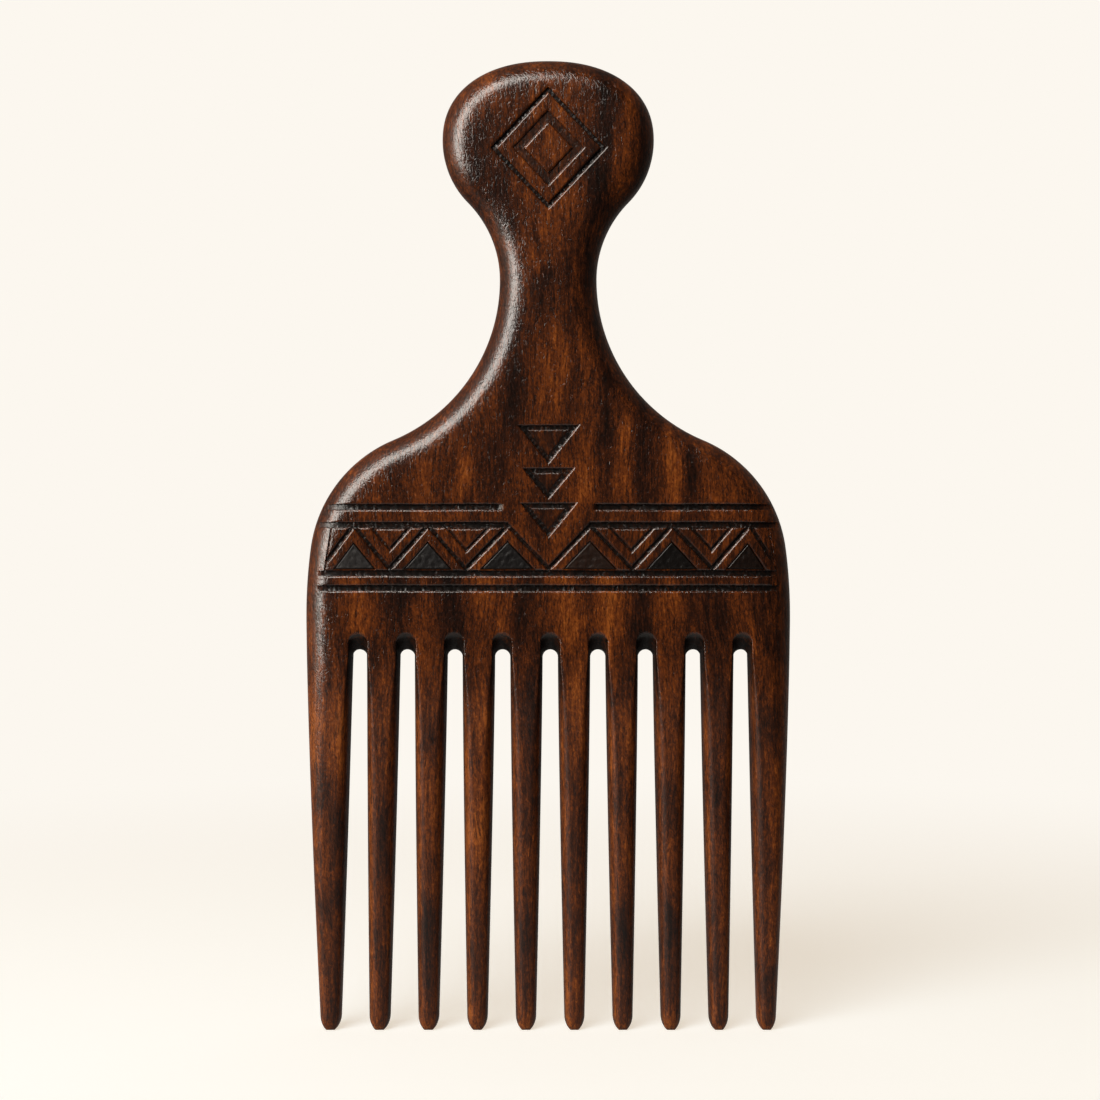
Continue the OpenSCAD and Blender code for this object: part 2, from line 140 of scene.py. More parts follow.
# The dome is a quarter of a superellipse, moved in along its own normal
def domePoints(inset, steps):
    q = np.radians(np.linspace(comb["domeStart"], 0, steps + 1))
    power = comb["domePower"]
    c, s = np.cos(q) ** (2 / power), np.sin(q) ** (2 / power)
    half, dome = comb["headWidth"] / 2, comb["headDome"]
    normal = np.column_stack([c ** (power - 1) / half, s ** (power - 1) / dome])
    normal /= np.linalg.norm(normal, axis=1)[:, None]
    return np.column_stack([c * half, headZ + s * dome]) - inset * normal


# 0 at the top of a slot, 1 where the noses start
def wayDown(z):
    return np.maximum(0, (springZ - z) / (springZ - comb["tipNose"]))


# Half a slot's width, which grows with a power of the way down
def slotHalf(z):
    atTop, atTips = comb["slotWidth"] / 2, (pitch - comb["tipWidth"]) / 2
    return atTop + (atTips - atTop) * wayDown(z) ** comb["slotPower"]


# Middle of slot i: its place in the row times the pitch there, and the row's shift, less of it outwards
def slotX(i, z):
    place = i - comb["toothCount"] / 2
    spread = comb["slotPitchShare"] + (1 - comb["slotPitchShare"]) * wayDown(z)
    outward = (2 * place / comb["toothCount"]) ** 2
    return place * pitch * spread + comb["slotShift"] * (1 - outward * wayDown(z))


# Rounding of a slot's edges: from the root's to the teeth's soon below the slot tops, then evenly on
# to the tips'
def slotRound(z):
    along = comb["toothRound"] + (comb["tipRound"] - comb["toothRound"]) * wayDown(z)
    return comb["rootRound"] + (along - comb["rootRound"]) * (1 - (1 - wayDown(z)) ** comb["roundPower"])


# Half the board's width below the seam, which shrinks with a power of the way down
def sideX(z):
    way = np.maximum(0, (seamZ - z) / (seamZ - comb["tipNose"]))
    return comb["bodyWidth"] / 2 + (tipHalf - comb["bodyWidth"] / 2) * way ** comb["sidePower"]


# Rounding of the sides: from the rim's to the tips' as a parabola
def sideRound(z):
    return comb["rimWidth"] + (comb["tipRound"] - comb["rimWidth"]) * (1 - (1 - wayDown(z)) ** 2)


# How far a slot's end has risen at g: a mix of the rounding itself and of an even slope
def scoop(g):
    even = math.sqrt(1 - (1 - min(g, 1)) ** 2)
    return comb["gulletRise"] * (g + (even - g) * comb["gulletEven"])


# Heights down the side of a tooth; the first ones rise with the scoop of the slot's end
def stations(g, steps=26):
    top = springZ + scoop(g)
    return np.concatenate([np.linspace(top, taperZ, 4)[:-1], np.linspace(taperZ, comb["tipNose"], steps)])


# Right half of the outline, from the dome down to the outer tooth's nose
def flank(g):
    d = comb["rimWidth"] * g
    z = stations(g)
    return np.concatenate([
        domePoints(d, 46),
        arcPoints(headC, headR - d, 0, headTurn, 20),
        arcPoints(upperC, comb["neckUpperRadius"] + d, 180 + headTurn, 180, 30),
        arcPoints(lowerC, comb["neckLowerRadius"] + d, 180, 180 + shoulderTurn, 34),
        arcPoints(shoulderC, shoulderR - d, shoulderTurn, comb["sideTurn"], 40),
        arcPoints(sideC, comb["sideRadius"] - d, comb["sideTurn"], 0, 22),
        [[comb["bodyWidth"] / 2 - d, seamZ]],
        np.column_stack([sideX(z) - sideRound(z) * g, z]),
    ])


# Half the board's thickness at g, the share of the rounding: a quarter of an ellipse
def ringHeight(g):
    return halfLand + (halfThick - halfLand) * np.sqrt(1 - (1 - np.minimum(g, 1)) ** 2)


# A tip rises from its flat towards the faces as a parabola
def tipRise(g):
    y = ringHeight(g) * comb["tipThickness"] / comb["thickness"]
    beyond = max(0, 2 * y - comb["tipFlat"]) / (comb["tipThickness"] - comb["tipFlat"])
    return comb["tipLift"] * beyond ** 2


# The right side of tooth i: a slot's middle less half its width, or the board's own side
def rightEdge(i, z):
    return sideX(z) if i == comb["toothCount"] else slotX(i, z) - slotHalf(z)


# The left side of tooth i, in the same way
def leftEdge(i, z):
    return -sideX(z) if i == 1 else slotX(i - 1, z) + slotHalf(z)


# Half of a nose is a quarter of an ellipse, cut off by the flat
def nosePoints(i, g, side, steps=10):
    q = np.radians(comb["noseEnd"]) * np.arange(1, steps + 1) / steps
    left, right = leftEdge(i, comb["tipNose"]), rightEdge(i, comb["tipNose"])
    x = (left + right) / 2 + side * ((right - left) / 2 - comb["tipRound"] * g) * np.cos(q)
    drop = (comb["tipNose"] - tipRise(g)) * np.sin(q)
    z = comb["tipNose"] - drop / math.sin(math.radians(comb["noseEnd"]))
    return np.column_stack([x, z])


# One side of a tooth from its slot's end down to the nose, moved in by g of its rounding
def toothSide(i, g, side):
    z = stations(g)
    edge = rightEdge(i, z) if side > 0 else leftEdge(i, z)
    return np.column_stack([edge - side * slotRound(z) * g, z])


# A slot's end is half a circle, wider by g of its rounding and raised by the scoop
def archPoints(i, g, steps=16):
    q = np.pi * np.arange(1, steps) / steps
    radius = comb["slotWidth"] / 2 + comb["rootRound"] * g
    z = springZ + scoop(g)
    return np.column_stack([slotX(i, z) + radius * np.cos(q), z + radius * np.sin(q)])


# The whole outline, clockwise as seen from the front, moved in by g of its rounding
def outline(g):
    right = flank(g)
    count = comb["toothCount"]
    parts = [right, nosePoints(count, g, 1)]
    for i in range(count - 1, 0, -1):
        parts += [nosePoints(i + 1, g, -1)[::-1], toothSide(i + 1, g, -1)[::-1], archPoints(i, g),
                  toothSide(i, g, 1), nosePoints(i, g, 1)]
    parts += [nosePoints(1, g, -1)[::-1], (right * [-1, 1])[::-1]]
    return np.concatenate(parts)


# The board thins evenly from the slots down to the tips
def thinning(z):
    return 1 + (comb["tipThickness"] / comb["thickness"] - 1) * np.maximum(0, (taperZ - z) / taperZ)


# The carving
carving = {
    "lineRises": (12.1, 15.0, 24.4, 27.9),   # the four straight lines above the slot tops
    "lineWidth": 1.5,
    "lineDepth": 0.7,
    "lineBreak": 17.4,        # opening in the middle of the top line
    "lineRunOut": 0.8,        # the line gets shallow over this far beside it
    "grooveWidth": 1.1,
    "grooveDepth": 0.6,
    "groundDepth": 0.06,      # of the triangles between the legs
    "pendantGround": 0.33,    # of the hanging triangles
    "channelDepth": 0.42,     # of the channel in the diamond
    "channelFoot": (0.32, 0.6),              # its floor starts this far in, and is even from there on
    "ridgeWidth": 1.45,       # between the zigzag and the triangles beside it
    # the turns of the zigzag: sideways over the body's width, and up from the second line to the third
    "turnsX": (-0.454, -0.399, -0.325, -0.247, -0.168, -0.083, 0.001,
               0.086, 0.171, 0.253, 0.335, 0.412, 0.465),
    "turnsZ": (0.26, 1, 0.09, 1, 0.09, 1, 0.09, 1, 0.09, 1, 0.09, 1, 0.18),
    "moatWidth": 0.4,         # the fine joint line round a slip
    "moatDepth": 0.45,
    "pocketDepth": 2.2,
    "pocketLean": 0.02,       # how much narrower a pocket is at its foot
    "diamond": (22.9, 24.2),  # width and height
    "diamondStep": 2.0,
    "diamondDrop": 2.1,       # its centre below the head's widest part
    "pendants": ((11.45, 6.99), (10.7, 6.3), (12.47, 7.88)),  # width and height, lowest first
    "pendantWider": 0.1,      # how much wider their grooves are
    "pendantRise": 0.9,
    "pendantGap": 0.5,
    "lipWidth": 0.34,         # the worn corner along every cut
    "lipDrop": 0.155,         # how far that corner falls
    # its points, in shares of these two: out from the edge of the cut, and down
    "lipShape": ((0.75, 0), (0.5, 0), (0.17, 0.18), (-0.17, 0.5), (-0.5, 1)),
    "wallTop": 0.12,          # the steep wall starts this far below the lip
    "wallFoot": 0.03,         # and ends this far above the floor
    "nestedGroove": (0.85, 0.55),            # round the triangles between the legs: width and depth
    "endGroove": (0.6, 0.35),                # of the short cuts at both ends of the band
    "lowLineEnd": 1.4,        # the two lower lines stop this far from the sides
    "highLineEnd": 0.6,       # and the two upper ones this far
    "bandHeight": (75, 118),  # heights between which the side of the board is read for them
    "highFollow": 0.7,        # share of the edge's rounding that they follow
    "endFollow": 0.8,         # and that the short cuts at both ends follow
    "nestedTuck": 0.12,       # the triangles between the legs end this far below the middle of the
                              # line above, inside it, so that only their ground shows there
    "pocketTuck": 0.4,        # the pockets start this far above the middle of the line below, in
                              # shares of its width
    "stray": 0.09,            # hand work moves the carving by up to this
    "strayReach": 8.0,        # less and less from here out to the edge
    "strayWaves": ((17, 0.7), (21, 3.1)),    # size and seed of that, sideways and upwards
    "wobble": 0.02,           # how far a wall strays from its line
    "marks": 0.07,            # height of the knife's marks on the floor of a cut
    "endCuts": (((-42.2, 98.6), (-43.5, 89.9)), ((42.8, 98.6), (44.3, 90.2))),
}

lineZ = slotTop + np.array(carving["lineRises"])
turns = np.column_stack([
    np.array(carving["turnsX"]) * comb["bodyWidth"],
    lineZ[1] + np.array(carving["turnsZ"]) * (lineZ[2] - lineZ[1]),
])
peaks = range(1, len(turns) - 1, 2)
valleys = range(2, len(turns) - 2, 2)
middleTurn = len(turns) // 2


# Uneven beat of the knife along a cut: three sines that never fall into step
def beat(u, seed):
    quick, slow = np.sin(11.9 * u + 2.3 * seed), np.sin(4.1 * u + 4.1 * seed)
    return (np.sin(7.3 * u + seed) + 0.6 * quick + 0.6 * slow) / 2.2


# Gentle unevenness of a rubbed surface: plane waves about one size, in six directions
def unevenness(x, z, size, seed):
    total = np.zeros_like(x)
    for k in range(6):
        turn, wave = 2.4 * k + seed, size * (0.75 + 0.1 * k)
        total += np.sin(2 * np.pi * (x * math.cos(turn) + z * math.sin(turn)) / wave + 1.7 * k * seed)
    return total / 6


# Half a groove's section, from the face in: a rounded lip, a steep wall and a flat floor
def grooveHalf(width, depth):
    half, lip, drop = width / 2, carving["lipWidth"], carving["lipDrop"]
    worn = [(half + across * lip, down * drop) for across, down in carving["lipShape"]]
    wall = [(half - 0.6 * lip, drop + carving["wallTop"]), (half - 0.7 * lip, depth - carving["wallFoot"])]
    return worn + wall + [(half - 0.8 * lip, depth)]


# Section of a groove over the distance from its middle
def grooveSection(width, depth):
    half = grooveHalf(width, depth)
    return np.array([(-s, d) for s, d in half] + half[::-1])


# Section over the distance in from a shape's outline: a groove, and a lipped ground inside it
def moatSection(width, depth, ground):
    half = grooveHalf(width, depth)
    inner = [(width / 2 + s, min(depth, ground + d)) for s, d in half[::-1]]
    return np.array([(width / 2 - s, d) for s, d in half] + inner)


# A cut along a straight stretch: its ends are mitred along cutA and cutB, or run out over a fade
def strip(a, b, section, cutA=None, cutB=None, fade=(0, 0), follow=0):
    a, b = np.array(a, float), np.array(b, float)
    way = unit(b - a)
    normal = np.array([-way[1], way[0]])
    return {"a": a, "b": b, "way": way, "normal": normal, "section": section, "fade": fade,
            "follow": follow, "cutA": normal if cutA is None else cutA,
            "cutB": normal if cutB is None else cutB}


# Cross product in the plane of the board: above 0 where b lies to the left of a
def cross2(a, b):
    return a[..., 0] * b[..., 1] - a[..., 1] * b[..., 0]


# The knife leaves low humps along the floor of a cut
def marked(depth, deepest, u, seed):
    onFloor = ramp(depth / deepest, 0.9, 1)
    return depth - carving["marks"] * onFloor * np.clip(0.35 + beat(u, seed), 0, 1.2)


# Depth of a strip at places p: its section over the distance across, between its two end cuts;
# it follows the rounding, whose own depth there is rim, by its share
def stripDepth(cut, p, rim, seed):
    u, v = (p - cut["a"]) @ cut["way"], (p - cut["a"]) @ cut["normal"]
    signA, signB = np.sign(cross2(cut["cutA"], cut["way"])), np.sign(cross2(cut["cutB"], cut["way"]))
    inside = signA * cross2(cut["cutA"], p - cut["a"]) > -1e-6
    inside &= signB * cross2(cut["cutB"], p - cut["b"]) < 1e-6
    wall = carving["wobble"] * beat(0.5 * u, seed)
    depth = np.interp(v + wall, cut["section"][:, 0], cut["section"][:, 1])
    followed = cut["follow"] * rim * ramp(depth, 0, 0.15)
    depth = marked(depth, cut["section"][:, 1].max(), u, seed) + followed
    length = np.linalg.norm(cut["b"] - cut["a"])
    for run, fade in ((u, cut["fade"][0]), (length - u, cut["fade"][1])):
        if fade:
            depth = depth * ramp(run, 0, fade)
    return np.where(inside, depth, 0)


# A sunk shape with straight sides: its section runs over the distance in from the nearest side
def sunkShape(corners, section, wobble=1):
    corners = np.array(corners, float)
    if cross2(corners[1] - corners[0], corners[2] - corners[1]) < 0:
        corners = corners[::-1]
    return {"corners": corners, "section": section, "wobble": wobble}


# Depth of a sunk shape at places p: its section over the distance in from the nearest side
def shapeDepth(shape, p, seed):
    a = shape["corners"]
    way = np.roll(a, -1, 0) - a
    way /= np.linalg.norm(way, axis=1)[:, None]
    rel = p[:, None] - a[None]
    inward = cross2(way[None], rel)
    side = inward.argmin(1)
    rows = np.arange(len(p))
    along = (rel[rows, side] * way[side]).sum(1)
    wall = carving["wobble"] * shape["wobble"] * beat(0.5 * along, seed + side)
    depth = np.interp(inward[rows, side] + wall, shape["section"][:, 0], shape["section"][:, 1])
    return marked(depth, shape["section"][:, 1].max(), along, seed + side) if shape["wobble"] else depth


# Centre and radius of the circle that fits in a shape
def incircle(corners):
    edges = np.linalg.norm(np.roll(corners, -1, 0) - corners, axis=1)
    centre = (np.roll(edges, -1)[:, None] * corners).sum(0) / edges.sum()
    if len(corners) == 4:
        centre = corners.mean(0)
    return centre, abs(cross2(corners[1] - corners[0], centre - corners[0])) / edges[0]


# Moves the sides of a shape in: its corners shrink towards the middle of the circle that fits in it
def insetCorners(corners, distance):
    centre, radius = incircle(corners)
    return centre + (corners - centre) * (1 - distance / radius)


# The triangle nested in a turn of the zigzag, a ridge away from its groove and cut off at a height
def nested(i, z):
    left, right = unit(turns[i - 1] - turns[i]), unit(turns[i + 1] - turns[i])
    reach = (carving["grooveWidth"] / 2 + carving["ridgeWidth"]) / math.sqrt((1 - left @ right) / 2)
    tip = turns[i] + unit(left + right) * reach
    return np.array([tip, tip + left * (z - tip[1]) / left[1], tip + right * (z - tip[1]) / right[1]])


# Half the board's width at a height of the band, read off the side of its outline
def halfWidth(z):
    side = flank(0)
    low, high = carving["bandHeight"]
    side = side[(side[:, 1] > low) & (side[:, 1] < high)]
    return np.interp(z, side[::-1, 1], side[::-1, 0])


# Along the line that halves the corner at a turn of the zigzag
def mitre(i):
    a, b = max(i, 1), min(i, len(turns) - 2)
    before, after = unit(turns[a] - turns[a - 1]), unit(turns[b + 1] - turns[b])
    return unit(np.array([-before[1], before[0]]) + np.array([-after[1], after[0]]))


lineSection = grooveSection(carving["lineWidth"], carving["lineDepth"])
legSection = grooveSection(carving["grooveWidth"], carving["grooveDepth"])
endSection = grooveSection(*carving["endGroove"])
strips = []
for z in lineZ[:2]:
    reach = halfWidth(z) - carving["lowLineEnd"]
    strips.append(strip((-reach, z), (reach, z), lineSection))
follow = carving["highFollow"]
reach = halfWidth(lineZ[2]) - carving["highLineEnd"]
strips.append(strip((-reach, lineZ[2]), (turns[middleTurn - 1][0], lineZ[2]), lineSection, follow=follow))
strips.append(strip((turns[middleTurn + 1][0], lineZ[2]), (reach, lineZ[2]), lineSection, follow=follow))
reach = halfWidth(lineZ[3]) - carving["highLineEnd"]
for side in (-1, 1):
    ends = [(side * carving["lineBreak"] / 2, lineZ[3]), (side * reach, lineZ[3])]
    strips.append(strip(*ends, lineSection, fade=(carving["lineRunOut"], 0), follow=follow))
for i in range(len(turns) - 1):
    strips.append(strip(turns[i], turns[i + 1], legSection, mitre(i), mitre(i + 1)))
for top, bottom in carving["endCuts"]:
    strips.append(strip(top, bottom, endSection, follow=carving["endFollow"]))

shapes = []
for i in valleys:
    if i != middleTurn:
        corners = nested(i, lineZ[2] - carving["nestedTuck"])
        shapes.append(sunkShape(corners, moatSection(*carving["nestedGroove"], carving["groundDepth"])))
hangingWidth = carving["grooveWidth"] + carving["pendantWider"]
hanging = moatSection(hangingWidth, carving["grooveDepth"], carving["pendantGround"])
top = lineZ[3] + carving["pendantRise"]
for k, (width, height) in enumerate(carving["pendants"]):
    top += carving["pendantGap"] + height if k else 0
    shapes.append(sunkShape([(-width / 2, top), (width / 2, top), (0, top - height)], hanging))

# The diamond: a groove, a ring, a sunk channel with worn lips, and a raised middle
width, height = carving["diamond"]
centre = headZ - carving["diamondDrop"]
outer = moatSection(carving["grooveWidth"], carving["grooveDepth"], 0)
ring = carving["grooveWidth"] + carving["diamondStep"]
inner = ring + carving["diamondStep"]
ground, drop, lip = carving["channelDepth"], carving["lipDrop"], carving["lipWidth"]
wall = [(-0.7 * lip, 0), (-0.45 * lip, 0), (-0.12 * lip, 0.18 * drop), (0.22 * lip, 0.5 * drop),
        (0.55 * lip, drop), (0.65 * lip, drop + 0.05)]
wall += [(foot, ground) for foot in carving["channelFoot"]]
channel = np.array([(ring + s, d) for s, d in wall] + [(inner - s, d) for s, d in wall[::-1]])
diamond = [(0, centre + height / 2), (width / 2, centre), (0, centre - height / 2), (-width / 2, centre)]
shapes += [sunkShape(diamond, outer), sunkShape(diamond, channel, 0)]

moat = carving["moatWidth"]
pocketSection = np.array([
    (-0.9 * lip, 0), (-0.5 * lip, 0), (0.25 * lip, drop), (moat / 2, carving["moatDepth"]),
    (moat / 2 + carving["pocketLean"], carving["pocketDepth"]), (moat, carving["pocketDepth"])])
pockets = [nested(i, lineZ[1] + carving["pocketTuck"] * carving["lineWidth"]) for i in peaks]
shapes += [sunkShape(corners, pocketSection, 0) for corners in pockets]


# Depth of the carving at places p: the deepest of all its cuts there
def carvedDepth(p, rim):
    depth = np.zeros(len(p))
    for k, cut in enumerate(strips):
        depth = np.maximum(depth, stripDepth(cut, p, rim, 1.9 * k))
    for k, shape in enumerate(shapes):
        depth = np.maximum(depth, shapeDepth(shape, p, 2.7 * k))
    return depth


# How fine the board's mesh is
fineness = {
    "alongCuts": (0.25, 0.5), # spacing of the points along the floors of the cuts, and along their tops
    "onFaces": (1.5, 2.0),    # spacing of the loose points on the front, and on the back
    "acrossLimits": (-46, 46),               # the loose points lie within these
    "heightLimits": (2, 190),
    "cell": 0.5,              # and not in cells of this size that a line of the carving runs through
}


# Evenly spaced points along a run of corners
def sampled(corners, closed, spacing):
    corners = np.concatenate([corners, corners[:1]]) if closed else np.asarray(corners)
    parts = []
    for a, b in zip(corners[:-1], corners[1:]):
        steps = max(1, math.ceil(np.linalg.norm(b - a) / spacing))
        parts.append(a + (b - a) * (np.arange(steps) / steps)[:, None])
    return np.concatenate(parts + ([] if closed else [corners[-1:]]))


# The lines that the mesh follows: every break in a section, all along its cut
def carvingLines():
    fine, coarse = fineness["alongCuts"]
    lines = []
    for cut in strips:
        ends = []
        deepest = cut["section"][:, 1].max()
        for v, depth in cut["section"]:
            run = []
            for corner, end in ((cut["a"], cut["cutA"]), (cut["b"], cut["cutB"])):
                slide = cut["way"] * v * cross2(end, cut["normal"]) / cross2(end, cut["way"])
                run.append(corner + v * cut["normal"] - slide)
            lines.append((sampled(run, False, fine if depth > deepest / 2 else coarse), False))
            ends.append(run)
        for k in (0, 1):
            lines.append((np.array([run[k] for run in ends]), False))
    for shape in shapes:
        deepest = shape["section"][:, 1].max()
        for distance, depth in shape["section"]:
            spacing = fine if shape["wobble"] and depth > deepest / 2 else coarse
            lines.append((sampled(insetCorners(shape["corners"], distance), True, spacing), True))
    return lines


# The board's skin
shares = 1 - np.cos(np.radians(np.linspace(0, 90, comb["rimSteps"] + 1)))
loops = [outline(g) for g in shares]
loopCount = len(loops[0])
sideCount = len(stations(0))
seamRight = len(flank(0)) - sideCount - 1
seamLeft = loopCount - 1 - seamRight
print("outline:", loopCount, "points in each of", len(loops), "rings")


# Distance from places to a line: the least distance to any of its short stretches
def distanceTo(p, corners):
    a, way = corners[:-1], np.diff(corners, axis=0)
    nearest = np.full(len(p), np.inf)
    for part in np.array_split(np.arange(len(a)), 24):
        rel = p[:, None] - a[None, part]
        t = np.clip((rel * way[part]).sum(2) / (way[part] ** 2).sum(1), 0, 1)
        nearest = np.minimum(nearest, np.linalg.norm(rel - t[..., None] * way[part], axis=2).min(1))
    return nearest


# How far the faces are rubbed down: a parabola over the distance from the outer edge, gone on the teeth
def crownDepth(p):
    distance = distanceTo(np.column_stack([abs(p[:, 0]), p[:, 1]]), flank(0))
    drop = comb["crownDrop"] * np.clip(1 - distance / comb["crownReach"], 0, 1) ** 2
    return drop * ramp(p[:, 1], *comb["crownHeight"])


# A face seen flat: rings over the head and the body, the inner ring round the teeth, then the carving
def faceTriangles(lines, spacing):
    upper = np.r_[seamLeft:loopCount, 0:seamRight + 1]
    local = np.full((len(loops), loopCount), -1)
    coords, edges = [], []
    count = 0
    for k, loop in enumerate(loops):
        places = upper if k < len(loops) - 1 else np.arange(loopCount)
        local[k, places] = count + np.arange(len(places))
        coords.append(loop[places])
        count += len(places)
        closing = np.roll(places, -1)
        run = np.column_stack([local[k, places], local[k, closing]])
        edges.append(run if k == len(loops) - 1 else run[:-1])
    edges[0] = np.column_stack([local[0, upper[:-1]], local[0, upper[1:]]])
    for seam in (seamLeft, seamRight):
        edges.append(np.column_stack([local[:-1, seam], local[1:, seam]]))
    ringCount = count
    ringPlace = np.full(ringCount, -1)
    ringPlace[local[local >= 0]] = np.flatnonzero(local.ravel() >= 0)
    for points, closed in lines:
        index = count + np.arange(len(points))
        edges.append(np.column_stack([index, np.roll(index, -1)])[:len(points) if closed else -1])
        coords.append(points)
        count += len(points)
    # loose points keep the flats from long thin triangles
    left, right = fineness["acrossLimits"]
    low, high = fineness["heightLimits"]
    x, z = np.meshgrid(np.arange(left, right, spacing), np.arange(low, high, spacing * 0.87))
    x[1::2] += spacing / 2
    grid = np.column_stack([x.ravel(), z.ravel()])
    grid = grid[insideLoop(grid, loops[-1])]
    if lines:
        # each cell that a line of the carving runs through has one number, and no loose points
        near = np.concatenate([points for points, closed in lines])
        cells = np.unique(np.round(near / fineness["cell"]).astype(int) @ [1, 4096])
        grid = grid[~np.isin(np.round(grid / fineness["cell"]).astype(int) @ [1, 4096], cells)]
    coords.append(grid)
    points, edges = np.concatenate(coords).tolist(), np.concatenate(edges).tolist()
    made = delaunay_2d_cdt(points, edges, [], 1, 1e-5, True)
    places = np.array([list(v) for v in made[0]])
    source = np.array([min(ids, default=ringCount) for ids in made[3]])
    triangles = np.array(made[2])
    border = np.concatenate([loops[0][upper], loops[-1][seamRight:seamLeft + 1]])
    triangles = triangles[insideLoop(places[triangles].mean(1), border)]
    return places, triangles, source, ringCount, ringPlace


# Even-odd test of places against a closed loop
def insideLoop(p, loop):
    a, b = loop, np.roll(loop, -1, 0)
    crossings = np.zeros(len(p), int)
    for part in np.array_split(np.arange(len(a)), 24):
        spans = (a[None, part, 1] > p[:, None, 1]) != (b[None, part, 1] > p[:, None, 1])
        rise = np.where(b[part, 1] == a[part, 1], 1, b[part, 1] - a[part, 1])
        x = a[None, part, 0] + (p[:, None, 1] - a[None, part, 1]) / rise * (b[part, 0] - a[part, 0])
        crossings += (spans & (x > p[:, None, 0])).sum(1)
    return crossings % 2 == 1


# Hand work moves the carving by a hair, and leaves the faces a little uneven
def handMoved(p, reach):
    fade = ramp(reach, 0, carving["strayReach"])[:, None]
    shift = np.column_stack([unevenness(p[:, 0], p[:, 1], *wave) for wave in carving["strayWaves"]])
    return p + carving["stray"] * fade * shift


# Depth that the rounding takes off at a distance from the silhouette
def rimDepth(distance):
    return halfThick - ringHeight(np.clip(distance / comb["rimWidth"], 0, 1))


# The wood's figure: soft upright streaks, dark below 0 and orange above, which fade out at both ends; the
# last three streaks are painted shade along the right-hand edges.
# Each is (x, z, half its width, half its length, tone)
figureAndShade = (
    (10.8, 175, 2.0, 12, -0.9), (15.6, 176, 1.8, 8, 0.2), (10.2, 163, 2.8, 7, -0.7),
    (-14.6, 169, 3.5, 9, -0.5), (-0.6, 172, 5.5, 10, 0.4), (-8.3, 162, 2.2, 7, -0.5),
    (-1.5, 156, 2.6, 7, 0.4), (4.6, 151, 1.5, 9, -0.4), (1.6, 130, 3.2, 10, 0.5),
    (-0.8, 143, 1.8, 6, -0.45), (-6.2, 131, 2.0, 9, -0.5), (-7.4, 120, 1.8, 9, -0.7),
    (-11.4, 110, 3.0, 7, -0.5), (-17.0, 109, 2.1, 8, 0.5), (-20.8, 108, 1.5, 7, -0.5),
    (-24.4, 106, 1.8, 6, 0.4), (-30.5, 105, 3.0, 6, -0.25), (7.2, 109, 2.0, 9, 0.6),
    (11.2, 118, 2.0, 15, -0.7), (15.4, 112, 1.8, 10, 0.45), (18.4, 113, 1.5, 11, -0.8),
    (24.2, 108, 2.6, 8, 0.6), (28.2, 107, 1.8, 8, -0.6), (-29.5, 82, 2.5, 8, -0.6),
    (-23.7, 80, 2.3, 10, 0.45), (-18.4, 83, 2.4, 9, -0.7), (-11.2, 80, 3.2, 9, 0.35),
    (-4.4, 81, 2.8, 9, -0.65), (4.4, 83, 3.2, 9, 0.8), (11.9, 80, 2.8, 11, 0.8),
    (18.4, 82, 2.7, 10, -0.8), (24.8, 79, 2.5, 9, 0.3), (32.4, 80, 3.2, 8, -0.45),
    (-41.4, 58, 2.0, 9, 0.45), (-40.9, 27, 1.2, 19, -0.6), (-32.3, 37, 1.5, 8, -0.7),
    (-32.6, 15, 1.2, 10, -0.45), (-23.6, 44, 2.0, 9, 0.4), (-23.5, 18, 1.2, 11, -0.6),
    (-14.2, 42, 2.0, 14, 0.3), (-14.3, 14, 1.2, 9, -0.45), (-3.4, 60, 1.5, 11, -0.9),
    (-4.3, 18, 1.2, 9, -0.4), (5.3, 60, 2.0, 10, 0.5), (5.0, 28, 1.3, 16, -0.4),
    (14.5, 47, 1.5, 8, -0.35), (14.6, 16, 1.2, 9, -0.4), (23.6, 43, 1.8, 6, -0.6),
    (23.7, 20, 1.2, 8, -0.45), (32.9, 57, 1.8, 13, -0.4), (32.6, 17, 1.2, 9, -0.3),
    # the last three streaks, from (7.9, 147) on, are painted shade along the right-hand edges of the neck,
    # the head and the side
    (41.2, 52, 1.8, 20, -0.4), (41.3, 18, 1.2, 12, -0.3), (7.9, 147, 1.5, 12, -0.6),
    (18.3, 170, 1.7, 10, -0.55), (44.6, 86, 1.6, 14, -0.5),
)


# Tone of the figure: for each streak a bell across and a flat-topped bell along
def figureAndShadeTone(x, z):
    tone = np.zeros_like(x)
    for x0, z0, width, length, amount in figureAndShade:
        tone += amount * np.exp(-((x - x0) / width) ** 2 - ((z - z0) / length) ** 4)
    return tone


# Where painted shade darkens the cuts and the slots, where the wood is rubbed, and where it is paler. Each
# pair is a ramp in mm, from none to all
shadeAndWear = {
    # painted shade: the cuts, the slots' ends and, less, the walls of the slots are darkened
    "cutDepth": (0.1, 0.6),       # below the face: the cuts are dark
    "slotDepth": (0.0, 0.3),      # down the rounding of the slots' ends, which are dark
    "slotHeight": (58.0, 72.0),   # that sets in between these heights
    "wallDepth": (0.9, 2.5),      # down the walls between the teeth, which are less so
    "wallShare": 0.75,
    "slotShare": 0.9,
    # the painted shade in the slots stops this far in from the outer sides
    "shadeEdge": 6.5,             # the sides are clean up to this far in
    "teethHeight": (76.0, 62.0),  # the teeth are rubbed
    "edgeDepth": (0.45, 0.9),     # down the rounding of the outer edge, which is rubbed too
    "roundDepth": (0.0, 0.8),     # the roundings are paler
    "roundTone": 0.5,
    "tipHeight": (5.0, 0.0),      # so are the tips
    "tipTone": 0.3,
    "edgeTone": 0.1,              # share of both that is left above the teeth
    "teethTone": 0.15,
}
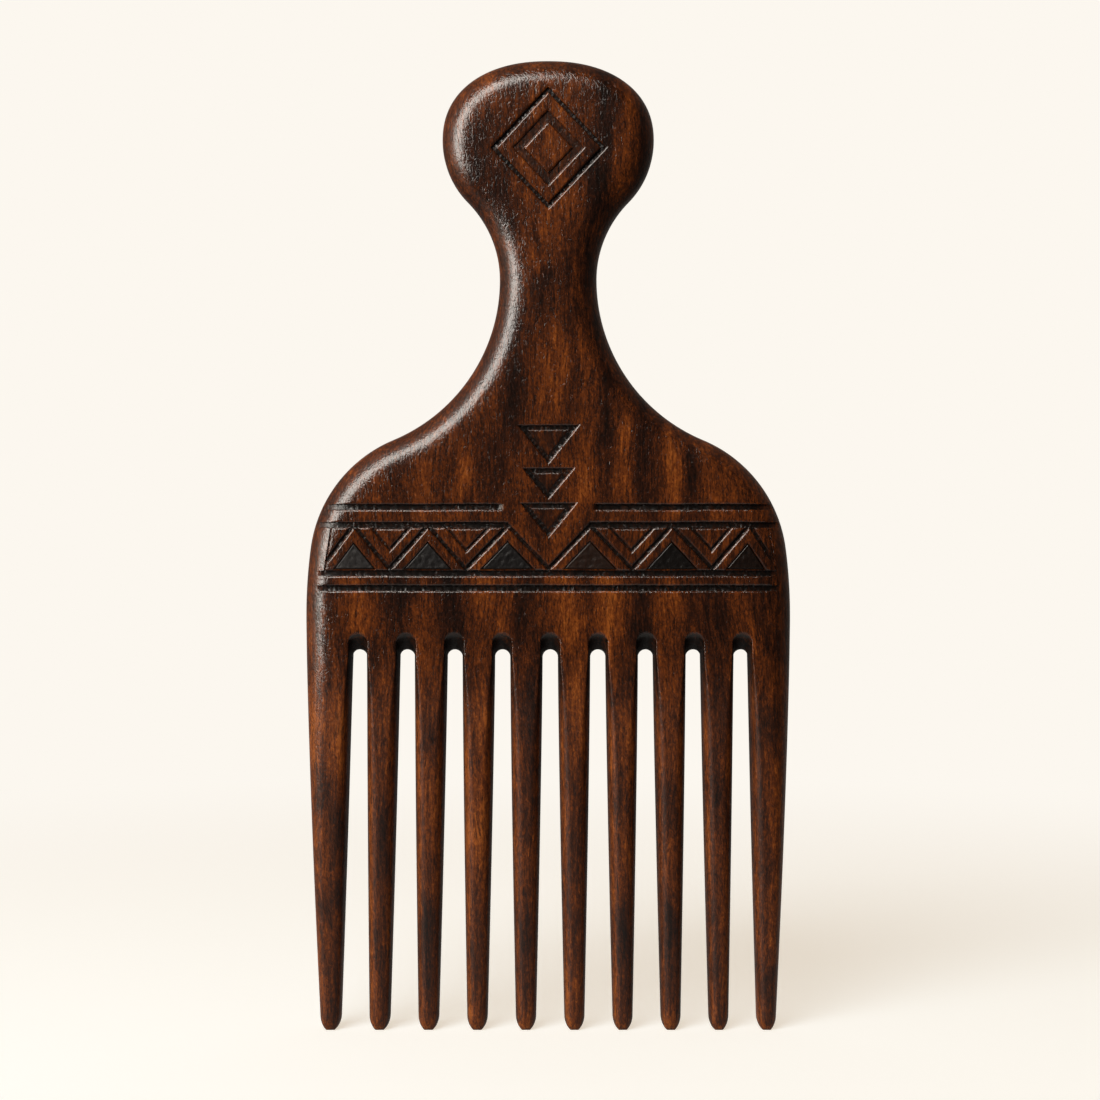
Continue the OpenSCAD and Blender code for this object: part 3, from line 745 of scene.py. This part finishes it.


# Both faces and the wall between them, and the shares of painted shade in the cuts and slots, of wear and
# of figure at each point
def boardMesh():
    vertices, faces, cutAndSlotShade, tones, rubs = [], [], [], [], []
    offset = 0
    edgeStart = []
    for side, lines, spacing in zip((-1, 1), (carvingLines(), []), fineness["onFaces"]):
        places, triangles, source, ringCount, ringPlace = faceTriangles(lines, spacing)
        isRing = source < ringCount
        # the rings, with the carving sunk into the rounding where it runs out
        ringXZ = np.concatenate(loops)
        reach = np.repeat(shares, loopCount) * comb["rimWidth"]
        depth = halfThick - ringHeight(np.repeat(shares, loopCount))
        extraXZ = places[~isRing]
        distance = distanceTo(extraXZ, np.concatenate([loops[0], loops[0][:1]]))
        allXZ = np.concatenate([ringXZ, extraXZ])
        allReach = np.concatenate([reach, distance])
        # below the seam only the flats of the teeth are filled, and they have no rounding left
        extraDepth = np.where(extraXZ[:, 1] > seamZ, rimDepth(distance), 0)
        allDepth = np.concatenate([depth, extraDepth])
        carved = carvedDepth(allXZ, allDepth) if side < 0 else np.zeros(len(allXZ))
        x, z = allXZ.T
        wave = sum(height * unevenness(x, z, size, seed + side) for height, size, seed in comb["waves"])
        wave *= ramp(allReach, 0, comb["waveReach"])
        wave *= np.maximum(ramp(z, *comb["waveHeight"]), comb["waveShare"])
        crown = crownDepth(allXZ) * (halfThick - halfLand - allDepth) / (halfThick - halfLand)
        surface = np.maximum(allDepth, carved) + np.abs(wave) + crown
        y = side * (halfThick - surface) * thinning(z)
        moved = handMoved(allXZ, allReach) if side < 0 else allXZ
        vertices.append(np.column_stack([moved[:, 0], y, moved[:, 1]]))
        # painted shade darkens the cuts, the rounding round the slots' ends and the walls of the slots
        slotShade = ramp(allDepth, *shadeAndWear["slotDepth"]) * ramp(z, *shadeAndWear["slotHeight"])
        slotShade = np.maximum(slotShade, shadeAndWear["wallShare"] * ramp(allDepth, *shadeAndWear["wallDepth"]))
        shadeStop = comb["bodyWidth"] / 2 - shadeAndWear["shadeEdge"]
        slotShade *= shadeAndWear["slotShare"] * (z < seamZ) * ramp(abs(x), shadeStop, shadeStop - 1)
        # this share of painted shade goes into the material as the cut attribute
        cutAndSlotShade.append(np.maximum(ramp(carved - allDepth, *shadeAndWear["cutDepth"]), slotShade))
        # hair and hands have rubbed the film of oil off the teeth and off the outer edge
        teeth = ramp(z, *shadeAndWear["teethHeight"])
        rubs.append(np.maximum(teeth, ramp(allDepth, *shadeAndWear["edgeDepth"])))
        # the roundings and the tips are a little paler, and the teeth too
        paler = shadeAndWear["roundTone"] * ramp(allDepth, *shadeAndWear["roundDepth"])
        paler += shadeAndWear["tipTone"] * ramp(z, *shadeAndWear["tipHeight"])
        paler *= np.maximum(teeth, shadeAndWear["edgeTone"])
        tones.append(figureAndShadeTone(x, z) + paler + shadeAndWear["teethTone"] * teeth)
        # triangles of the flat view, numbered from the rings first and then the rest
        number = np.empty(len(places), int)
        number[isRing] = ringPlace[source[isRing]]
        number[~isRing] = loopCount * len(loops) + np.arange((~isRing).sum())
        skin = number[triangles]
        # the rounding of the teeth, between neighbouring rings from seam to seam
        i = np.arange(seamRight, seamLeft)
        for k in range(len(loops) - 1):
            outer, inner = k * loopCount + i, (k + 1) * loopCount + i
            skin = np.concatenate([skin, np.column_stack([outer, inner, inner + 1]),
                                   np.column_stack([outer, inner + 1, outer + 1])])
        faces.append((skin if side < 0 else skin[:, ::-1]) + offset)
        edgeStart.append(offset)
        offset += len(allXZ)
    i = np.arange(loopCount)
    j = (i + 1) % loopCount
    front, back = edgeStart
    faces.append(np.column_stack([front + i, front + j, back + j]))
    faces.append(np.column_stack([front + i, back + j, back + i]))
    return np.concatenate(vertices), np.concatenate(faces), {
        "cut": np.concatenate(cutAndSlotShade), "figureAndShade": np.concatenate(tones), "rubbed": np.concatenate(rubs)}


# Puts whole arrays of points in millimetres and of triangles into a new mesh in metres
def addPiece(name, vertices, faces, sharpAngle, attributes=None):
    mesh = bpy.data.meshes.new(name)
    mesh.vertices.add(len(vertices))
    mesh.vertices.foreach_set("co", (vertices * mm).ravel())
    mesh.loops.add(faces.size)
    mesh.loops.foreach_set("vertex_index", faces.ravel())
    mesh.polygons.add(len(faces))
    mesh.polygons.foreach_set("loop_start", np.arange(len(faces)) * 3)
    mesh.polygons.foreach_set("use_smooth", np.ones(len(faces), bool))
    mesh.update(calc_edges=True)
    mesh.validate()
    for key, values in (attributes or {}).items():
        mesh.attributes.new(key, "FLOAT", "POINT").data.foreach_set("value", values)
    mesh.set_sharp_from_angle(angle=math.radians(sharpAngle))
    piece = bpy.data.objects.new(name, mesh)
    bpy.context.scene.collection.objects.link(piece)
    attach(piece, "root")
    return piece


vertices, faces, attributes = boardMesh()
board = addPiece("combBoard", vertices, faces, 32, attributes)
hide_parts("comb_body")
print("board:", len(vertices), "points,", len(faces), "triangles")

# The slips
slip = {
    "gap": 0.05,              # between a slip and the wall of its pocket
    "sink": 0.12,             # how far it lies below the face
    "bevel": 0.3,
    "crumple": 0.06,          # height of its uneven top
    "crumpleSizes": (1.5, 3.4),              # of its finer and its coarser humps
    "crumpleReach": 0.4,      # they grow to their height over this far from the wall
    "across": 26,             # rings from its bevel to its middle
    "around": 40,             # points along each side
}


# A slip: its outline shrinks ring by ring to the middle of its top, and closes again below
def slipMesh(corners, seed):
    centre, radius = incircle(corners)
    wall = carving["moatWidth"] / 2 + slip["gap"]
    q = np.radians(np.linspace(0, 90, 6))
    bevelIn = wall + slip["bevel"] * (1 - np.cos(q))
    bevelDown = slip["sink"] + slip["bevel"] * (1 - np.sin(q))
    middle = radius * 0.999   # just short of it, so that one point can close it
    flat = np.linspace(bevelIn[-1], middle, slip["across"])[1:]
    inward = np.concatenate([[middle, wall], bevelIn, flat])
    depth = np.concatenate([[carving["pocketDepth"]] * 2, bevelDown, np.full(len(flat), slip["sink"])])
    ring = sampled(corners, True, np.linalg.norm(corners[1] - corners[0]) / slip["around"])
    n = len(ring)
    share = 1 - inward / radius
    xz = centre + (ring - centre)[None] * share[:, None, None]
    top = ramp(inward - wall, 0, slip["crumpleReach"]) * (np.arange(len(inward)) > 1)
    x, z = xz[..., 0], xz[..., 1]
    fine, coarse = slip["crumpleSizes"]
    crumple = unevenness(x, z, fine, seed) + 0.8 * unevenness(x, z, coarse, seed + 2)
    y = -halfThick + depth[:, None] + slip["crumple"] * top[:, None] * (1 + crumple)
    y += crownDepth(xz.reshape(-1, 2)).reshape(y.shape)
    moved = handMoved(xz.reshape(-1, 2), np.full(xz.shape[0] * n, carving["strayReach"]))
    points = np.column_stack([moved[:, 0], y.ravel(), moved[:, 1]])
    i, j = np.arange(n), (np.arange(n) + 1) % n
    faces = []
    for k in range(len(inward) - 1):
        a, b = k * n, (k + 1) * n
        faces += [np.column_stack([a + i, a + j, b + j]), np.column_stack([a + i, b + j, b + i])]
    # one point closes the middle of each side
    ends = [points[k * n:(k + 1) * n].mean(0) for k in (0, len(inward) - 1)]
    total = len(points)
    last = (len(inward) - 1) * n
    faces += [np.column_stack([last + i, last + j, np.full(n, total + 1)]),
              np.column_stack([j, i, np.full(n, total)])]
    return np.concatenate([points, ends]), np.concatenate(faces)


slips = []
for k, corners in enumerate(pockets):
    if cross2(corners[1] - corners[0], corners[2] - corners[1]) < 0:
        corners = corners[::-1]
    vertices, faces = slipMesh(corners, 1.1 + 2.3 * k)
    piece = addPiece(f"darkSlip{k + 1}", vertices, faces, 50)
    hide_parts(f"inlay_{k + 1}")
    slips.append(piece)
print("slips:", len(slips), "of", len(faces), "triangles each")


# The materials. An sRGB hex value turned linear, by that colour space's own curve
def linear(code):
    parts = [int(code[k:k + 2], 16) / 255 for k in (1, 3, 5)]
    return [c / 12.92 if c <= 0.04045 else ((c + 0.055) / 1.055) ** 2.4 for c in parts] + [1.0]


# Adds one node: its settings, the stops of its ramp, and its inputs, each a value or a socket to link
def addNode(tree, kind, settings=None, inputs=None, stops=None):
    made = tree.nodes.new(kind)
    for key, value in (settings or {}).items():
        setattr(made, key, value)
    for key, value in (inputs or {}).items():
        if isinstance(value, bpy.types.NodeSocket):
            tree.links.new(value, made.inputs[key])
        else:
            made.inputs[key].default_value = value
    if stops:
        elements = made.color_ramp.elements
        while len(elements) < len(stops):
            elements.new(0.5)
        for element, (place, colour) in zip(elements, stops):
            element.position = place
            element.color = linear(colour)
    return made


# A material with an empty node tree
def newMaterial(name):
    material = bpy.data.materials.new(name)
    material.use_nodes = True
    material.node_tree.nodes.clear()
    return material, material.node_tree


# Oiled rosewood, carved and hand-rubbed: near-black and orange-brown figure runs up the board,
# fine fibres fray its edges, short open pores break the satin gloss, and painted shade darkens the cuts
# and the creases
rosewood = {
    "tones": ((0.0, "#140905"), (0.25, "#2a1309"), (0.5, "#4a230e"), (0.75, "#733813"), (1.0, "#9f5620")),
    # the pores' own dark tone, also used as painted shade in the creases and the cuts
    "poreAndShadeTone": "#0a0503",
    "patch": (5.0, 16.0),     # mm across and along of the blotches between the streaks
    "fibre": (0.5, 7.0),      # of a fibre
    "mottle": (0.4, 0.9),     # of the fine flecks
    "crease": (0.85, 1.8),    # of the creases in the leathery skin, which lean to the right
    "creaseLean": 28.0,       # degrees
    "pore": (0.24, 2.6),      # of a pore; finer ones wouldn't show
    "sway": 9.0,              # the grain sways sideways by up to this many mm
    "swayScale": (0.04, 0.04, 0.03),         # waves of that per mm
    "figureAndShadeShare": 0.4,       # how much the figure and each noise move the tone
    "patchShare": 1.15,
    "fibreShare": 1.1,
    "mottleShare": 0.95,
    "toneShift": -1.09,
    "poreEdges": (0.58, 0.68),               # noise at which a pore starts and is full
    "creaseEdge": 0.12,       # half the width of a crease in its noise
    # painted shade: the share of that dark tone that a crease and a cut take on; a pore's share is its own
    # dark
    "creaseShade": 0.25,       # how much of the cuts' tone a crease, a pore and a cut take on
    "poreDark": 0.5,
    "cutShadeShare": 0.85,
    "creaseDepth": 0.022,     # mm
    "fleckHeight": 0.016,
    "fibreHeight": 0.005,
    "poreDepth": 0.006,
    "roughness": 0.22,
    "rubbedRoughness": 0.26,  # added where the film of oil is rubbed off
    "cutRoughness": 0.12,     # and in the cuts
    "coat": 1.0,              # the film of oil on top
    "coatRubbed": 0.88,       # share of it that is gone where it is rubbed off
    "coatCut": 0.5,           # and in the cuts
    "coatRoughness": 0.2,
}
multiplyAdd = {"operation": "MULTIPLY_ADD"}
smoothStep = {"interpolation_type": "SMOOTHSTEP"}


# Reads Object coordinates, and the board's shares of figure, of painted shade in the cuts and of wear
def makeRosewood():
    material, tree = newMaterial("oiledRosewood")
    coords = addNode(tree, "ShaderNodeTexCoord")
    place = addNode(tree, "ShaderNodeMapping", None, {
        "Vector": coords.outputs["Object"], "Scale": (1 / mm, 1 / mm, 1 / mm)})
    # slow sideways waves that all the grain follows
    slow = addNode(tree, "ShaderNodeMapping", None, {
        "Vector": place.outputs[0], "Scale": rosewood["swayScale"]})
    sway = addNode(tree, "ShaderNodeTexNoise", None, {
        "Vector": slow.outputs[0], "Scale": 1.0, "Detail": 2.0})
    swayed = addNode(tree, "ShaderNodeVectorMath", multiplyAdd, {
        0: sway.outputs["Color"], 1: (rosewood["sway"], 0, 0), 2: place.outputs[0]})

    # noise as wide and as long as a size in mm
    def grain(size, source, detail, roughness, distortion=0.0):
        width, length = size
        sized = addNode(tree, "ShaderNodeMapping", None, {
            "Vector": source.outputs[0], "Scale": (1 / width, 1 / width, 1 / length)})
        return addNode(tree, "ShaderNodeTexNoise", None, {
            "Vector": sized.outputs[0], "Scale": 1.0, "Detail": detail, "Roughness": roughness,
            "Distortion": distortion})

    patches = grain(rosewood["patch"], swayed, 4.0, 0.6, 0.5)
    fibres = grain(rosewood["fibre"], swayed, 3.0, 0.7)
    mottle = grain(rosewood["mottle"], place, 2.5, 0.55, 0.9)
    pores = grain(rosewood["pore"], swayed, 1.0, 0.5)
    leaning = addNode(tree, "ShaderNodeMapping", None, {
        "Vector": place.outputs[0], "Rotation": (0, math.radians(rosewood["creaseLean"]), 0)})
    skin = grain(rosewood["crease"], leaning, 2.0, 0.5, 0.8)
    # the tone is the board's figure, with its painted shade along the right-hand edges, and blotches,
    # fibres and flecks added
    figureAndShadeInput = addNode(tree, "ShaderNodeAttribute", {"attribute_name": "figureAndShade"})
    tone = addNode(tree, "ShaderNodeMath", multiplyAdd, {
        0: figureAndShadeInput.outputs["Fac"], 1: rosewood["figureAndShadeShare"], 2: rosewood["toneShift"]})
    for source, share in ((patches, "patchShare"), (fibres, "fibreShare"), (mottle, "mottleShare")):
        tone = addNode(tree, "ShaderNodeMath", multiplyAdd, {
            0: source.outputs["Fac"], 1: rosewood[share], 2: tone.outputs[0]})
    colour = addNode(tree, "ShaderNodeValToRGB", None, {"Fac": tone.outputs[0]}, rosewood["tones"])
    # 1 in a pore
    poreMask = addNode(tree, "ShaderNodeMapRange", smoothStep, {
        "Value": pores.outputs["Fac"], "From Min": rosewood["poreEdges"][0],
        "From Max": rosewood["poreEdges"][1]})
    # 0 in a crease, where the skin's noise crosses its middle, and 1 beside it
    middle = addNode(tree, "ShaderNodeMath", {"operation": "SUBTRACT"}, {0: skin.outputs["Fac"], 1: 0.5})
    beside = addNode(tree, "ShaderNodeMath", {"operation": "ABSOLUTE"}, {0: middle.outputs[0]})
    crease = addNode(tree, "ShaderNodeMapRange", smoothStep, {
        "Value": beside.outputs[0], "From Min": 0.0, "From Max": rosewood["creaseEdge"]})
    # painted shade darkens the creases and the cuts, and the pores are dark wood
    # the cut attribute holds the painted shade of the cuts and the slots
    cut = addNode(tree, "ShaderNodeAttribute", {"attribute_name": "cut"})
    creaseShade = addNode(tree, "ShaderNodeMath", multiplyAdd, {
        0: crease.outputs[0], 1: -rosewood["creaseShade"], 2: rosewood["creaseShade"]})
    poreDark = addNode(tree, "ShaderNodeMath", multiplyAdd, {
        0: poreMask.outputs[0], 1: rosewood["poreDark"], 2: creaseShade.outputs[0]})
    darken = addNode(tree, "ShaderNodeMath", {"operation": "MULTIPLY_ADD", "use_clamp": True}, {
        0: cut.outputs["Fac"], 1: rosewood["cutShadeShare"], 2: poreDark.outputs[0]})
    stainedAndShaded = addNode(tree, "ShaderNodeMix", {"data_type": "RGBA", "blend_type": "MIX"}, {
        0: darken.outputs[0], 6: colour.outputs[0], 7: linear(rosewood["poreAndShadeTone"])})
    # relief in mm: the skin's creases, flecks, fibres and pores
    relief = addNode(tree, "ShaderNodeMath", {"operation": "MULTIPLY"}, {
        0: crease.outputs[0], 1: rosewood["creaseDepth"]})
    for source, height in ((mottle.outputs["Fac"], rosewood["fleckHeight"]),
                           (fibres.outputs["Fac"], rosewood["fibreHeight"]),
                           (poreMask.outputs[0], -rosewood["poreDepth"])):
        relief = addNode(tree, "ShaderNodeMath", multiplyAdd, {0: source, 1: height, 2: relief.outputs[0]})
    bump = addNode(tree, "ShaderNodeBump", None, {
        "Strength": 1.0, "Distance": mm, "Height": relief.outputs[0]})
    # the bare wood is rougher where its oil is rubbed off, and a little in the cuts
    rubbed = addNode(tree, "ShaderNodeAttribute", {"attribute_name": "rubbed"})
    dry = addNode(tree, "ShaderNodeMath", multiplyAdd, {
        0: rubbed.outputs["Fac"], 1: rosewood["rubbedRoughness"], 2: rosewood["roughness"]})
    rough = addNode(tree, "ShaderNodeMath", multiplyAdd, {
        0: cut.outputs["Fac"], 1: rosewood["cutRoughness"], 2: dry.outputs[0]})
    # and the film of oil is thin in both
    film = addNode(tree, "ShaderNodeMath", multiplyAdd, {
        0: rubbed.outputs["Fac"], 1: -rosewood["coatRubbed"], 2: 1.0})
    kept = addNode(tree, "ShaderNodeMath", multiplyAdd, {
        0: cut.outputs["Fac"], 1: -rosewood["coatCut"] * rosewood["coat"], 2: rosewood["coat"]})
    oil = addNode(tree, "ShaderNodeMath", {"operation": "MULTIPLY"}, {
        0: film.outputs[0], 1: kept.outputs[0]})
    shader = addNode(tree, "ShaderNodeBsdfPrincipled", None, {
        "Base Color": stainedAndShaded.outputs[2], "Roughness": rough.outputs[0], "IOR": 1.38,
        "Normal": bump.outputs[0], "Coat Weight": oil.outputs[0], "Coat IOR": 1.5,
        "Coat Roughness": rosewood["coatRoughness"], "Coat Normal": bump.outputs[0]})
    addNode(tree, "ShaderNodeOutputMaterial", None, {"Surface": shader.outputs[0]})
    return material


# Blackened hardwood, cut and burnished: almost black, with a dry crumpled skin
slipWood = {
    "grain": 1.6,             # grains of its skin per mm
    "toneEdges": (0.35, 0.7),                # noise at which the first tone ends and the second starts
    "grainHeight": 0.1,       # mm
    # a dark and a lighter tone and the roughness of each slip: the ones to the left have lighter tones,
    # which are painted light, and are rougher; the fourth and the last one are browner
    "looks": (("#151313", "#282423", 0.44), ("#0e0c0c", "#1d1a1a", 0.40), ("#0c0a0a", "#1a1717", 0.36),
              ("#1b100b", "#2a1911", 0.33), ("#0c0a09", "#181412", 0.27), ("#100b09", "#20140e", 0.25)),
}


# One noise on Object coordinates gives both its two tones and its relief
def makeSlipWood(name, dark, light, roughness):
    material, tree = newMaterial(name)
    coords = addNode(tree, "ShaderNodeTexCoord")
    place = addNode(tree, "ShaderNodeMapping", None, {
        "Vector": coords.outputs["Object"], "Scale": (1 / mm, 1 / mm, 1 / mm)})
    skin = addNode(tree, "ShaderNodeTexNoise", None, {
        "Vector": place.outputs[0], "Scale": slipWood["grain"], "Detail": 4.0, "Roughness": 0.6})
    stops = list(zip(slipWood["toneEdges"], (dark, light)))
    colour = addNode(tree, "ShaderNodeValToRGB", None, {"Fac": skin.outputs["Fac"]}, stops)
    bump = addNode(tree, "ShaderNodeBump", None, {
        "Strength": 1.0, "Distance": slipWood["grainHeight"] * mm, "Height": skin.outputs["Fac"]})
    shader = addNode(tree, "ShaderNodeBsdfPrincipled", None, {
        "Base Color": colour.outputs[0], "Roughness": roughness, "Normal": bump.outputs[0], "IOR": 1.45})
    addNode(tree, "ShaderNodeOutputMaterial", None, {"Surface": shader.outputs[0]})
    return material


board.data.materials.append(makeRosewood())
for k, (piece, look) in enumerate(zip(slips, slipWood["looks"])):
    piece.data.materials.append(makeSlipWood(f"blackenedWood{k + 1}", *look))
print("materials: rosewood and", len(slips), "slips")

# Stage, light and camera
studio = {
    "paper": "#fcf7ef",
    "shade": "#fff0dc",       # the floor's warm tone where it is in shadow, its strength and its share
    "shadeGlow": 1.96,
    "shadeShare": 0.36,
    "lit": "#d7ecff",         # what the lamps add to that
    "litReach": (0.10, 0.42), # the camera sees that mix up to here, and from there on plain paper
    "bounce": "#6f6a63",      # what the floor is to the light that meets it
    "bounceReach": (0.03, 0.24),             # it is clear to that light from there on
    "mirrorGlow": 0.4,        # how bright a gloss shows it
    # name, the two ends of the lamp (degrees to the left of the camera and up, as seen from the comb),
    # its width and its distance in metres, watts and colour
    "lamps": (
        ("stripBox", (60, -2), (6, 52), 0.40, 0.98, 14.2, "#fff9f0"),
        ("lowWindow", (76, -12), (76, 12), 0.30, 0.90, 0.6, "#ffe0c0"),
        ("paleCard", (-85, 8), (-138, 8), 1.20, 0.75, 0.35, "#ffe9d2"),
    ),
    "roomGlow": 0.02,         # the dark room in front
    "sheetGlow": 0.36,        # the paper sheet hung behind the comb, open in its middle
    "sheetRise": (0.25, 0.6), # where the sheet starts and ends: 0 is beside the comb, 1 straight behind
    "sheetFall": (0.84, 0.96),
    "sheetMiddle": 0.15,      # what is left of its glow in the middle
    "floorRadius": 1.2,
    "distance": 0.370,        # from the camera to the board's middle
    "viewWidth": 0.21643,     # what the frame holds there
    "aim": (0.00035, 0.0, 0.09402),
}


# The way from the comb that lies so many degrees to the left of the camera, and up
def towards(left, up):
    left, up = math.radians(left), math.radians(up)
    return np.array([-math.sin(left) * math.cos(up), -math.cos(left) * math.cos(up), math.sin(up)])


# A flat lamp that faces the comb, with its long side from one end to the other
def addLamp(name, first, second, width, reach, watts, colour):
    first, second = towards(*first), towards(*second)
    way, along = unit(first + second), unit(second - first)
    lamp = bpy.data.lights.new(name, "AREA")
    lamp.shape = "RECTANGLE"
    lamp.size = 2 * reach * math.tan(math.acos(first @ second) / 2)
    lamp.size_y = width
    lamp.energy = watts
    lamp.color = linear(colour)[:3]
    made = bpy.data.objects.new(name, lamp)
    made.location = np.array(studio["aim"]) + reach * way
    made.rotation_euler = Matrix(np.column_stack([along, np.cross(way, along), way]).tolist()).to_euler()
    made.visible_camera = False
    bpy.context.scene.collection.objects.link(made)


for lamp in studio["lamps"]:
    addLamp(*lamp)

# The floor is a round sheet of paper. Seen or mirrored it shows its own colour, darkened where it is
# in shadow, and away from the comb it runs out into the backdrop without an edge
steps, n = 24, 96
radius = np.linspace(0.02, studio["floorRadius"], steps)[:, None]
angle = np.linspace(0, 2 * np.pi, n, endpoint=False)[None]
points = np.stack([radius * np.cos(angle), radius * np.sin(angle), np.zeros((steps, n))], -1)
points = points.reshape(-1, 3)
i, j = np.arange(n), (np.arange(n) + 1) % n
quads = np.concatenate([
    np.column_stack([k * n + i, (k + 1) * n + i, (k + 1) * n + j, k * n + j]) for k in range(steps - 1)])
sheet = bpy.data.meshes.new("paperFloor")
sheet.from_pydata(np.concatenate([points, [[0, 0, 0]]]).tolist(), [],
                  quads.tolist() + np.column_stack([i, j, np.full(n, steps * n)]).tolist())
floor = bpy.data.objects.new("paperFloor", sheet)
bpy.context.scene.collection.objects.link(floor)
material, tree = newMaterial("paper")
coords = addNode(tree, "ShaderNodeTexCoord")
away = addNode(tree, "ShaderNodeVectorMath", {"operation": "LENGTH"}, {0: coords.outputs["Object"]})
# 1 by the comb, 0 further off: where the camera sees it lit, and where other light meets it
near, close = (addNode(tree, "ShaderNodeMapRange", smoothStep, {
    "Value": away.outputs["Value"], "From Min": start, "From Max": end, "To Min": 1.0, "To Max": 0.0})
    for start, end in (studio["litReach"], studio["bounceReach"]))
path = addNode(tree, "ShaderNodeLightPath")
seen = path.outputs["Is Camera Ray"]
mirrored = addNode(tree, "ShaderNodeMath", {"operation": "MAXIMUM"},
                   {0: path.outputs["Is Glossy Ray"], 1: path.outputs["Is Transmission Ray"]})
tint = addNode(tree, "ShaderNodeMix", {"data_type": "RGBA"}, {
    0: seen, 6: linear(studio["bounce"]), 7: linear(studio["lit"])})
matte = addNode(tree, "ShaderNodeBsdfDiffuse", None, {"Color": tint.outputs[2]})
shade = addNode(tree, "ShaderNodeEmission", None, {
    "Color": linear(studio["shade"]), "Strength": studio["shadeGlow"]})
glow = addNode(tree, "ShaderNodeEmission", None, {"Color": linear(studio["paper"]), "Strength": 1.0})
clear = addNode(tree, "ShaderNodeBsdfTransparent")
floorTop = addNode(tree, "ShaderNodeMixShader", None, {
    0: studio["shadeShare"], 1: matte.outputs[0], 2: shade.outputs[0]})
toCamera = addNode(tree, "ShaderNodeMixShader", None, {
    0: near.outputs[0], 1: glow.outputs[0], 2: floorTop.outputs[0]})
mirrorGlow = addNode(tree, "ShaderNodeEmission", None, {
    "Color": linear(studio["paper"]), "Strength": studio["mirrorGlow"]})
toMirror = addNode(tree, "ShaderNodeMixShader", None, {
    0: mirrored.outputs[0], 1: matte.outputs[0], 2: mirrorGlow.outputs[0]})
toRest = addNode(tree, "ShaderNodeMixShader", None, {
    0: close.outputs[0], 1: clear.outputs[0], 2: toMirror.outputs[0]})
mixed = addNode(tree, "ShaderNodeMixShader", None, {0: seen, 1: toRest.outputs[0], 2: toCamera.outputs[0]})
addNode(tree, "ShaderNodeOutputMaterial", None, {"Surface": mixed.outputs[0]})
sheet.materials.append(material)

# Around the comb: the backdrop's own colour to the camera, and for all other light a paper sheet
# behind the comb, in a ring about the middle of the back, in an otherwise dark room
world = bpy.data.worlds.new("studio")
world.use_nodes = True
tree = world.node_tree
tree.nodes.clear()
path = addNode(tree, "ShaderNodeLightPath")
coords = addNode(tree, "ShaderNodeTexCoord")
back = addNode(tree, "ShaderNodeSeparateXYZ", None, {0: coords.outputs["Generated"]})
rise, fall = (addNode(tree, "ShaderNodeMapRange", smoothStep, {
    "Value": back.outputs["Y"], "From Min": start, "From Max": end, "To Min": before, "To Max": after})
    for (start, end), before, after in (
        (studio["sheetRise"], 0.0, 1.0), (studio["sheetFall"], 1.0, studio["sheetMiddle"])))
ring = addNode(tree, "ShaderNodeMath", {"operation": "MULTIPLY"}, {0: rise.outputs[0], 1: fall.outputs[0]})
level = addNode(tree, "ShaderNodeMath", multiplyAdd, {
    0: ring.outputs[0], 1: studio["sheetGlow"], 2: studio["roomGlow"]})
backdrop = addNode(tree, "ShaderNodeBackground", None, {"Color": linear(studio["paper"]), "Strength": 1.0})
around = addNode(tree, "ShaderNodeBackground", None, {
    "Color": linear(studio["paper"]), "Strength": level.outputs[0]})
mixed = addNode(tree, "ShaderNodeMixShader", None, {
    0: path.outputs["Is Camera Ray"], 1: around.outputs[0], 2: backdrop.outputs[0]})
addNode(tree, "ShaderNodeOutputWorld", None, {"Surface": mixed.outputs[0]})
bpy.context.scene.world = world
bpy.context.scene.view_settings.view_transform = "Standard"

lens = bpy.data.cameras.new("camera")
lens.sensor_width = 36
lens.lens = lens.sensor_width * studio["distance"] / studio["viewWidth"]
lens.clip_start = 0.01
camera = bpy.data.objects.new("camera", lens)
camera.location = (studio["aim"][0], -studio["distance"], studio["aim"][2])
camera.rotation_euler = (math.pi / 2, 0, 0)
bpy.context.scene.collection.objects.link(camera)
bpy.context.scene.camera = camera
print("studio:", len(studio["lamps"]), "lamps, paper floor, camera")
